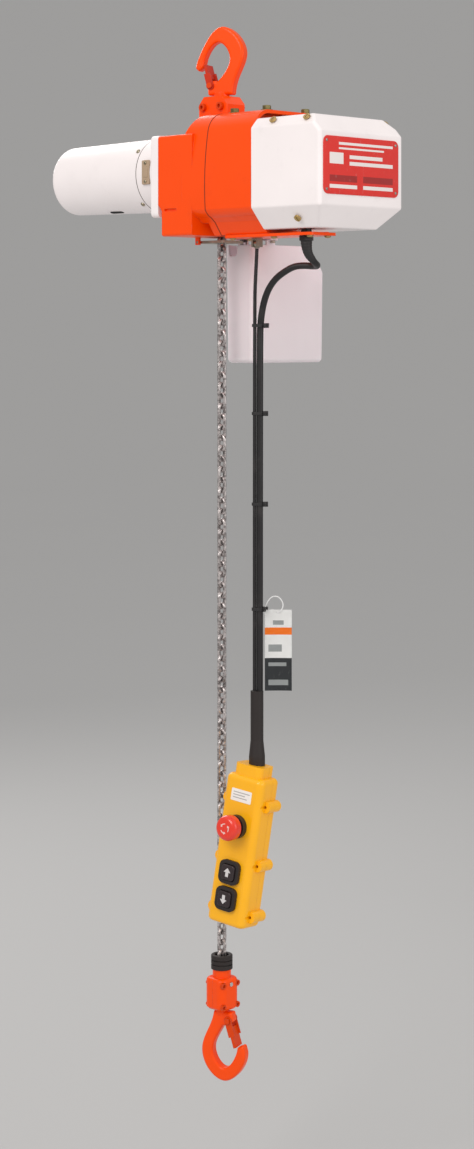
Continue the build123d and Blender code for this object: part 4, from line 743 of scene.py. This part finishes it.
class HOIST_OT_load_chain(bpy.types.Operator):
    """Load chain below the body: a short upper run, and the fall below it, drawn hanging straight"""

    bl_idname = "hoist.load_chain"
    bl_label = "Load chain"

    def execute(self, context):
        _, sizes, _ = choices()
        finish = chain_finish("chain_nickel")
        first, split, last = 8, 13, 77
        upper = self.make_run("chain_upper_run", range(first, split + 1), sizes, finish)
        lower = self.make_run("chain_lower_fall", range(split + 1, last + 1), sizes, finish)
        for run in (upper, lower):
            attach(run, SUSPENDED)
        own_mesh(lower)
        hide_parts("load_chain")
        return {"FINISHED"}

    def make_run(self, name, links, sizes, finish):
        shape = bmesh.new()
        for link in links:
            centre = Vector((0, 0, SHAFT[1] - sizes.chain_pitch * link))
            sweep(shape, self.link_line(centre, link % 2 == 0, sizes), lambda travelled: sizes.chain_wire / 2, 14, True)
        return finished(shape, name, finish)

    def link_line(self, centre, sideways, sizes):
        """Closed line along the middle of one link's wire."""
        bend = (sizes.link_inner_width + sizes.chain_wire) / 2
        straight = (sizes.chain_pitch + sizes.link_slack - sizes.link_inner_width) / 2
        line = []
        for end in (1, -1):
            for step in range(11):
                angle = math.radians(18 * step) + (0 if end > 0 else math.pi)
                across = bend * math.cos(angle)
                up = end * straight + bend * math.sin(angle)
                line.append(centre + (Vector((across, 0, up)) if sideways else Vector((0, across, up))))
        return line


def chain_finish(name):
    """Nickel plating with painted light: painted highlight where the wire is convex, painted shade where it is not, and
    near-black noise patches of painted shade for the dark gaps between the links.
    """
    graph = Graph(name)
    # Patch noise: it sets the near-black painted shade patches below and varies the roughness.
    patch_noise = graph.noise(260.0, 5.0, 0.65)
    drawn = graph.noise(1500.0, 3.0, 0.6)
    crown = graph.out(graph.node("ShaderNodeNewGeometry"), "Pointiness")
    # Painted highlight where the wire is convex, painted shade where it is not.
    painted_highlight_share = graph.ramp(crown, 0.47, 0.53)
    # Painted shade: near-black noise patches that stand for the dark gaps between the links.
    shade = graph.ramp(patch_noise, 0.38, 0.62) * 0.75
    # Plating colour with the painted highlight and painted shade mixed in.
    plating_with_painted_light = graph.blend(painted_highlight_share, rgba((0.16, 0.13, 0.13)), rgba((0.8, 0.74, 0.73)))
    base = graph.blend(shade, plating_with_painted_light, rgba((0.035, 0.022, 0.02)))
    return graph.surface({"Metallic": 0.85}, base, 0.24 + patch_noise * 0.25, drawn, 0.00002)


class HOIST_OT_finishes(bpy.types.Operator):
    """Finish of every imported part, by the material slot that its record names"""

    bl_idname = "hoist.finishes"
    bl_label = "Finishes"

    def execute(self, context):
        tones, _, _ = choices()
        bare = (0.34, 0.3, 0.28)
        soft_black = (0.016, 0.014, 0.015)
        finishes = {
            "orange_paint": gloss_paint("orange_enamel", tones.orange, bare),
            "latch_paint": pressed("latch_enamel", tones.latch_red),
            "white_paint": gloss_paint("white_enamel", tones.white, (0.45, 0.42, 0.4)),
            "plated_steel": steel("zinc_plating", (0.66, 0.61, 0.5)),
            "dark_steel": steel("blacked_steel", (0.09, 0.08, 0.075), 0.42),
            "chain_steel": chain_finish("stowed_chain_nickel"),
            "gear_steel": steel("ground_steel", (0.5, 0.5, 0.51), 0.22, (0.1, 1, 1)),
            "copper_core": laminate("rotor_laminations", (0.2, 0.19, 0.19), (0.42, 0.18, 0.07), 60.0),
            "brass": steel("turned_brass", (0.74, 0.52, 0.2), 0.24, dark=0.7),
            "magnet": moulded("ferrite", (0.05, 0.05, 0.055), 0.6, 0.00008, 700.0),
            "black_plastic": moulded("black_nylon", soft_black, 0.4),
            "board_green": laminate("circuit_board", (0.012, 0.1, 0.035), (0.03, 0.2, 0.07), 160.0),
            "grey_plastic": moulded("grey_plastic", (0.2, 0.2, 0.215), 0.45),
            "bucket_plastic": milky_plastic("bucket_polythene", tones.bucket),
            "yellow_plastic": moulded("yellow_shell", tones.yellow, 0.33, 0.000025, 900.0, {"Coat Weight": 0.15}),
            "black_rubber": moulded("black_rubber", (0.02, 0.014, 0.013), 0.55, 0.00005, 1100.0),
            "cable_jacket": jacket("hidden_jacket", (0.012, 0.011, 0.012)),
            "stop_red": moulded("stop_button_red", tones.stop_red, 0.22, 0.00001, 500.0, {"Coat Weight": 0.4}),
            "key_black": moulded("key_black", (0.028, 0.018, 0.02), 0.3, 0.00002),
        }
        painted_over = gloss_paint("painted_bolt", [part * 0.72 for part in tones.orange], bare)
        special = {
            "yoke_bolts": painted_over,
            "block_bolts": painted_over,
            "load_latch_pin": painted_over,
            "load_latch": painted_over,
            "top_latch_pin": painted_over,
            "chain_pin": steel("polished_pin", (0.85, 0.83, 0.8), 0.16, dark=0.85),
        }
        for subpart in frame["record"]["subparts"]:
            part = NODES[subpart["node"]]
            wanted = special.get(subpart["node"], finishes[subpart["material_slot"]])
            if part.material_slots:
                for place in part.material_slots:
                    place.material = wanted
            else:
                part.data.materials.append(wanted)
        return {"FINISHED"}


class HOIST_OT_rating_plate(bpy.types.Operator):
    """Plain rating plate on the cover's end, with blank bars where a maker would print"""

    bl_idname = "hoist.rating_plate"
    bl_label = "Rating plate"

    def execute(self, context):
        tones, sizes, _ = choices()
        low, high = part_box("control_cover")
        wide, tall = sizes.plate_width, sizes.plate_height
        pale = (0.8, 0.74, 0.72)
        deep = (0.34, 0.012, 0.01)
        top = tall / 2
        bars = [
            ((-wide * 0.30, top - 0.0090), (wide * 0.42, top - 0.0062)),
            ((-wide * 0.30, top - 0.0138), (wide * 0.30, top - 0.0118)),
            ((-wide * 0.42, top - 0.0295), (-wide * 0.24, top - 0.0175)),
            ((-wide * 0.16, top - 0.0305), (wide * 0.42, top - 0.0265)),
            ((-wide * 0.16, top - 0.0235), (wide * 0.28, top - 0.0195)),
            ((-wide * 0.42, -top + 0.0065), (-wide * 0.06, -top + 0.0105)),
            ((wide * 0.02, -top + 0.0065), (wide * 0.42, -top + 0.0105)),
        ]
        fields = [
            ((-wide * 0.42, -top + 0.0135), (-wide * 0.06, -top + 0.0205)),
            ((wide * 0.02, -top + 0.0135), (wide * 0.42, -top + 0.0205)),
        ]
        print_finish = printed(
            "plate_print", tones.plate_red, [(pale, bars), (deep, fields)], 0.28, {"Coat Weight": 0.5}
        )
        middle = (high.x + 0.00005, 0.0035, -0.1525)
        shape = bmesh.new()
        prism(shape, rounded_outline(wide, tall, 0.007), 0.0, 0.0007, 0.0003)
        plate = finished(shape, "rating_plate", print_finish)
        plate.matrix_world = frame_at(middle, (0, 1, 0), (1, 0, 0))
        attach(plate, SUSPENDED)
        shape = bmesh.new()
        for sx in (-1, 1):
            for sy in (-1, 1):
                place = (sx * (wide / 2 - 0.005), sy * (tall / 2 - 0.005))
                lathe(shape, [(0.0016, 0.0), (0.0016, 0.001), (0.0012, 0.0014), (0.0003, 0.0016)], 20, place)
        rivets = finished(shape, "plate_rivets", steel("rivet_steel", (0.6, 0.56, 0.5)))
        rivets.matrix_world = plate.matrix_world.copy()
        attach(rivets, SUSPENDED)
        return {"FINISHED"}


def cross_head(shape, place, radius, height):
    """Pan head screw with a crossed recess, on the local xy plane."""
    profile = [
        (radius, 0.0),
        (radius, height * 0.45),
        (radius * 0.86, height * 0.8),
        (radius * 0.55, height),
        (radius * 0.22, height),
        (radius * 0.16, height * 0.45),
    ]
    start = len(shape.verts)
    lathe(shape, profile, 24)
    shape.verts.ensure_lookup_table()
    for vertex in shape.verts[start:]:
        vertex.co = place @ vertex.co


def hex_bolt(shape, place, across, height):
    """Flanged hexagon head with a chamfered top."""
    start = len(shape.verts)
    lathe(shape, [(across * 0.82, 0.0), (across * 0.82, height * 0.16), (across * 0.7, height * 0.24)], 32)
    outline = [
        (across / math.sqrt(3) * math.cos(math.radians(60 * k)), across / math.sqrt(3) * math.sin(math.radians(60 * k)))
        for k in range(6)
    ]
    prism(shape, outline, height * 0.2, height, height * 0.12)
    shape.verts.ensure_lookup_table()
    for vertex in shape.verts[start:]:
        vertex.co = place @ vertex.co


class HOIST_OT_motor_fittings(bpy.types.Operator):
    """Brush cover, band screws and cooling slots of the motor"""

    bl_idname = "hoist.motor_fittings"
    bl_label = "Motor fittings"

    def execute(self, context):
        cover_place = frame_at((-0.1, SHAFT[0] - 0.0443, SHAFT[1] + 0.001), (1, 0, 0), (0, -1, 0))
        shape = bmesh.new()
        prism(shape, rounded_outline(0.0124, 0.0284, 0.0014), -0.001, 0.0009, 0.0006)
        prism(shape, rounded_outline(0.0084, 0.0120, 0.0012), 0.0009, 0.0015, 0.0004)
        cap = finished(shape, "brush_cover", moulded("tan_phenolic", (0.42, 0.3, 0.2), 0.4))
        cap.matrix_world = cover_place
        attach(cap, SUSPENDED)
        shape = bmesh.new()
        for side in (-1, 1):
            cross_head(shape, cover_place @ Matrix.Translation((0, side * 0.0108, 0.0009)), 0.002, 0.0012)
        for angle in (-52, 38, 128, 218):
            cross_head(shape, self.on_tube(-0.1235, 0.0438, angle), 0.0027, 0.0018)
        screws = finished(shape, "motor_screws", steel("motor_screw_zinc", (0.62, 0.55, 0.4)))
        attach(screws, SUSPENDED)
        shape = bmesh.new()
        for x, radius, angle in ((-0.088, 0.0444, -78), (-0.088, 0.0444, 82), (-0.186, 0.0430, -74), (-0.186, 0.0430, 106)):
            place = self.on_tube(x, radius, angle)
            start = len(shape.verts)
            prism(shape, rounded_outline(0.022, 0.0054, 0.0026), 0.0, 0.0006, 0.0002)
            shape.verts.ensure_lookup_table()
            for vertex in shape.verts[start:]:
                vertex.co = place @ vertex.co
        slots = finished(shape, "cooling_slots", moulded("slot_grille", (0.012, 0.011, 0.011), 0.7))
        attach(slots, SUSPENDED)
        shape = bmesh.new()
        for x, radius, wide in ((-0.1171, 0.0442, 0.0005), (-0.0522, 0.0446, 0.0007)):
            start = len(shape.verts)
            profile = [(radius - 0.001, -wide), (radius + 0.0004, -wide), (radius + 0.0004, wide), (radius - 0.001, wide)]
            rim_band(shape, profile, 72)
            turned = Matrix.Translation((x, *SHAFT)) @ Matrix.Rotation(math.pi / 2, 4, "Y")
            shape.verts.ensure_lookup_table()
            for vertex in shape.verts[start:]:
                vertex.co = turned @ vertex.co
        seals = finished(shape, "motor_seals", moulded("seal_rubber", (0.12, 0.095, 0.085), 0.6))
        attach(seals, SUSPENDED)
        return {"FINISHED"}

    def on_tube(self, x, radius, angle):
        """Placement on the round motor: angle 0 faces the front and 90 faces up."""
        turned = math.radians(angle)
        out = Vector((0, -math.cos(turned), math.sin(turned)))
        origin = Vector((x, SHAFT[0], SHAFT[1])) + out * radius
        return frame_at(origin, (1, 0, 0), out)


def rim_band(shape, profile, steps):
    """Closed band whose (radius, height) section is turned round the local z axis."""
    rings = []
    for radius, height in profile:
        turns = [2 * math.pi * step / steps for step in range(steps)]
        rings.append([shape.verts.new((radius * math.cos(a), radius * math.sin(a), height)) for a in turns])
    for first, second in zip(rings, rings[1:] + rings[:1]):
        join_rings(shape, first, second)


def arc_through(first, middle, last, steps=10):
    """Points on the circle through three points, from the first up to just before the last."""
    a, b, c = Vector(first), Vector(middle), Vector(last)
    spread = 2 * (a.x * (b.y - c.y) + b.x * (c.y - a.y) + c.x * (a.y - b.y))
    x = (a.length_squared * (b.y - c.y) + b.length_squared * (c.y - a.y) + c.length_squared * (a.y - b.y)) / spread
    y = (a.length_squared * (c.x - b.x) + b.length_squared * (a.x - c.x) + c.length_squared * (b.x - a.x)) / spread
    centre = Vector((x, y))
    begin, end = a - centre, c - centre
    turned = math.atan2(begin.x * end.y - begin.y * end.x, begin.dot(end))
    line = []
    for step in range(steps):
        angle = turned * step / steps
        line.append(
            (
                x + begin.x * math.cos(angle) - begin.y * math.sin(angle),
                y + begin.x * math.sin(angle) + begin.y * math.cos(angle),
            )
        )
    return line


def casting_outline():
    """Section that both castings share, as (y, z) in metres, once round."""
    crown = arc_through((-0.036, -0.086), (-0.050, -0.093), (-0.057, -0.106))
    belly = arc_through((-0.057, -0.106), (-0.062, -0.150), (-0.0615, -0.194))
    step = arc_through((-0.0615, -0.194), (-0.057, -0.200), (-0.052, -0.203), 5)
    skirt = [(-0.052, -0.203), (-0.046, -0.208), (-0.036, -0.222), (0.060, -0.222), (0.072, -0.206)]
    rear = arc_through((0.072, -0.112), (0.065, -0.094), (0.050, -0.086))
    return crown + belly + step + skirt + rear + [(0.050, -0.086)]


class HOIST_OT_case_fittings(bpy.types.Operator):
    """Flanged bolts on the castings' shoulders, the gasket between them and the screws under the base"""

    bl_idname = "hoist.case_fittings"
    bl_label = "Case fittings"

    def execute(self, context):
        low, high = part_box("gear_case")
        shape = bmesh.new()
        for x, y in ((0.047, -0.026), (0.097, -0.026), (0.047, 0.036), (0.097, 0.036)):
            hex_bolt(shape, Matrix.Translation((x, y, high.z - 0.0001)), 0.0085, 0.006)
        bolts = finished(shape, "shoulder_bolts", steel("olive_chromate", (0.36, 0.31, 0.14), 0.35))
        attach(bolts, SUSPENDED)
        shape = bmesh.new()
        base_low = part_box("base_plate")[0]
        down = Matrix.Rotation(math.pi, 4, "X")
        for x, y in ((0.048, -0.030), (0.166, -0.030), (0.048, -0.002), (0.166, -0.002), (0.112, -0.030)):
            cross_head(shape, Matrix.Translation((x, y, base_low.z + 0.0001)) @ down, 0.0036, 0.0024)
        screws = finished(shape, "base_screws", steel("base_screw_brass", (0.7, 0.52, 0.26), 0.3))
        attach(screws, SUSPENDED)
        self.make_gasket(0.0361, 0.0009)
        return {"FINISHED"}

    def make_gasket(self, x, thick):
        """Dark paper gasket that shows as a line round the joint of the two castings."""
        outline = casting_outline()
        middle = (0.005, -0.152)
        shape = bmesh.new()
        rings = []
        for side, grown in ((-1, 0.985), (-1, 1.004), (1, 1.004), (1, 0.985)):
            rings.append(
                [
                    shape.verts.new(
                        (
                            x + side * thick / 2,
                            middle[0] + (y - middle[0]) * grown,
                            middle[1] + (z - middle[1]) * grown,
                        )
                    )
                    for y, z in outline
                ]
            )
        for first, second in zip(rings, rings[1:] + rings[:1]):
            join_rings(shape, first, second)
        gasket = finished(shape, "casting_gasket", moulded("gasket_paper", (0.11, 0.02, 0.008), 0.8))
        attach(gasket, SUSPENDED)


ARROW = [(0.0, 0.0052), (0.0046, 0.0004), (0.0019, 0.0004), (0.0019, -0.0046), (-0.0019, -0.0046), (-0.0019, 0.0004),
         (-0.0046, 0.0004)]


class HOIST_OT_pendant_marks(bpy.types.Operator):
    """Blank label, direction arrows and the stop button's turn arrows"""

    bl_idname = "hoist.pendant_marks"
    bl_label = "Pendant marks"

    def execute(self, context):
        pale = printed("label_film", (0.86, 0.82, 0.78), [((0.45, 0.43, 0.42), self.label_bars())], 0.35)
        shape = bmesh.new()
        prism(shape, rounded_outline(0.027, 0.0135, 0.0012), -0.0001, 0.0003)
        label = finished(shape, "pendant_label", pale)
        label.matrix_world = on_pendant(0.0, 0.034, 0.0)
        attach(label, LINE_BODY)
        ink = moulded("arrow_ink", (0.62, 0.6, 0.6), 0.4)
        for body, depth, sign in (("up_button", 0.119, 1), ("down_button", 0.1485, -1)):
            shape = bmesh.new()
            prism(shape, [(x, sign * y) for x, y in ARROW][:: sign], -0.0002, 0.0003)
            arrow = finished(shape, body + "_arrow", ink, smooth=False)
            arrow.matrix_world = on_pendant(0.0, depth, 0.0071)
            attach(arrow, body)
        shape = bmesh.new()
        for start in (90, 210, 330):
            self.turn_arrow(shape, start)
        marks = finished(shape, "stop_turn_arrows", moulded("stop_arrow_ink", (0.85, 0.6, 0.55), 0.35), smooth=False)
        marks.matrix_world = on_pendant(0.0, 0.068, 0.0242)
        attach(marks, "estop_head")
        return {"FINISHED"}

    def label_bars(self):
        return [
            ((-0.0110, 0.0026), (0.0110, 0.0038)),
            ((-0.0110, -0.0004), (0.0050, 0.0008)),
            ((-0.0110, -0.0034), (0.0080, -0.0022)),
        ]

    def turn_arrow(self, shape, start):
        """Curved arrow on the flat crown of the mushroom head."""
        inner, outer = 0.0046, 0.0056
        steps = 8
        lower, upper = [], []
        for step in range(steps + 1):
            angle = math.radians(start + 55 * step / steps)
            for radius, ring in ((inner, lower), (outer, upper)):
                ring.append((radius * math.cos(angle), radius * math.sin(angle)))
        head_angle = math.radians(start + 55)
        tip_angle = math.radians(start + 82)
        middle = (inner + outer) / 2
        head = [
            ((outer + 0.0012) * math.cos(head_angle), (outer + 0.0012) * math.sin(head_angle)),
            (middle * math.cos(tip_angle), middle * math.sin(tip_angle)),
            ((inner - 0.0012) * math.cos(head_angle), (inner - 0.0012) * math.sin(head_angle)),
        ]
        prism(shape, upper + head + lower[::-1], -0.0002, 0.0002)


class HOIST_OT_hang_tag(bpy.types.Operator):
    """Printed card on a thin loop, hanging from the cables beside a tie"""

    bl_idname = "hoist.hang_tag"
    bl_label = "Hang tag"

    def execute(self, context):
        _, sizes, _ = choices()
        wide, tall = sizes.tag_width, sizes.tag_height
        top = Vector((0.0721, -0.0159, -0.6390)) + VIEW_RIGHT * 0.0235 + VIEW_OUT * 0.003
        middle = top - Vector((0, 0, tall / 2))
        dark = (0.05, 0.055, 0.06)
        grey = (0.4, 0.42, 0.42)
        patches = [
            (grey, [((-0.006, tall / 2 - 0.017), (0.006, tall / 2 - 0.012)), ((-0.011, -0.002), (0.004, 0.006))]),
            ((0.9, 0.25, 0.02), [((-wide / 2, tall / 2 - 0.028), (wide / 2, tall / 2 - 0.020))]),
            (dark, [((-wide / 2, -tall / 2), (wide / 2, -tall / 2 + 0.036))]),
            (grey, [((-0.011, -tall / 2 + 0.006), (0.011, -tall / 2 + 0.012)), ((-0.011, -0.018), (0.009, -0.014))]),
        ]
        finish = printed("tag_card", (0.84, 0.84, 0.83), patches, 0.32, {"Coat Weight": 0.3})
        shape = bmesh.new()
        rows, columns = 24, 8
        grid = {}
        for row in range(rows + 1):
            for column in range(columns + 1):
                u = -wide / 2 + wide * column / columns
                v = tall / 2 - tall * row / rows
                curl = 0.0022 * (2 * row / rows - 1) ** 2 + 0.0012 * (2 * column / columns - 1) ** 2
                grid[row, column] = shape.verts.new((u, v, curl))
        for row in range(rows):
            for column in range(columns):
                shape.faces.new(
                    (grid[row, column], grid[row + 1, column], grid[row + 1, column + 1], grid[row, column + 1])
                )
        bmesh.ops.solidify(shape, geom=shape.faces[:], thickness=0.0007)
        tag = finished(shape, "hang_tag", finish)
        tag.matrix_world = frame_at(middle, VIEW_RIGHT + VIEW_OUT * 0.12, VIEW_OUT)
        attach(tag, LINE_BODY)
        self.make_loop(top)
        return {"FINISHED"}

    def make_loop(self, top):
        """Thin strap from the tie, through the card and back."""
        tie = Vector((0.0721, -0.0159, -0.6385)) + VIEW_RIGHT * 0.0085
        card = top - Vector((0, 0, 0.005))
        points = [
            tie + Vector((0, 0, 0.0)),
            tie + VIEW_RIGHT * 0.004 + Vector((0, 0, 0.012)),
            card + Vector((0, 0, 0.021)) + VIEW_OUT * 0.002,
            card + VIEW_RIGHT * 0.007 + Vector((0, 0, 0.010)) + VIEW_OUT * 0.003,
            card + VIEW_OUT * 0.004,
            card - VIEW_RIGHT * 0.005 + Vector((0, 0, 0.006)) - VIEW_OUT * 0.002,
            tie - Vector((0, 0, 0.004)),
        ]
        line = smooth_line("loop_line", points, 8)
        shape = bmesh.new()
        sweep(shape, line, lambda travelled: 0.0007, 10)
        loop = finished(shape, "tag_loop", moulded("clear_nylon", (0.7, 0.7, 0.7), 0.25))
        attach(loop, LINE_BODY)


STEPS = (
    ("studio", HOIST_OT_studio),
    ("control_line", HOIST_OT_control_line),
    ("finishes", HOIST_OT_finishes),
    ("load_chain", HOIST_OT_load_chain),
    ("rating_plate", HOIST_OT_rating_plate),
    ("motor_fittings", HOIST_OT_motor_fittings),
    ("case_fittings", HOIST_OT_case_fittings),
    ("pendant_marks", HOIST_OT_pendant_marks),
    ("hang_tag", HOIST_OT_hang_tag),
)


class HOIST_PT_sidebar(bpy.types.Panel):
    bl_label = "Chain hoist"
    bl_idname = "HOIST_PT_sidebar"
    bl_space_type = "VIEW_3D"
    bl_region_type = "UI"
    bl_category = "Hoist"

    def draw(self, context):
        for name, _ in STEPS:
            self.layout.operator("hoist." + name)
        for group in choices():
            box = self.layout.box()
            for key in group.bl_rna.properties.keys():
                if key not in ("rna_type", "name"):
                    box.prop(group, key)


GROUPS = (("hoist_colours", HoistColours), ("hoist_sizes", HoistSizes), ("hoist_studio", HoistStudio))


def register():
    for name, group in GROUPS:
        bpy.utils.register_class(group)
        setattr(bpy.types.Scene, name, bpy.props.PointerProperty(type=group))
    for _, step in STEPS:
        bpy.utils.register_class(step)
    bpy.utils.register_class(HOIST_PT_sidebar)


def unregister():
    bpy.utils.unregister_class(HOIST_PT_sidebar)
    for _, step in reversed(STEPS):
        bpy.utils.unregister_class(step)
    for name, group in reversed(GROUPS):
        delattr(bpy.types.Scene, name)
        bpy.utils.unregister_class(group)


def main():
    register()
    for name, _ in STEPS:
        getattr(bpy.ops.hoist, name)()


if __name__ == "__main__":
    main()
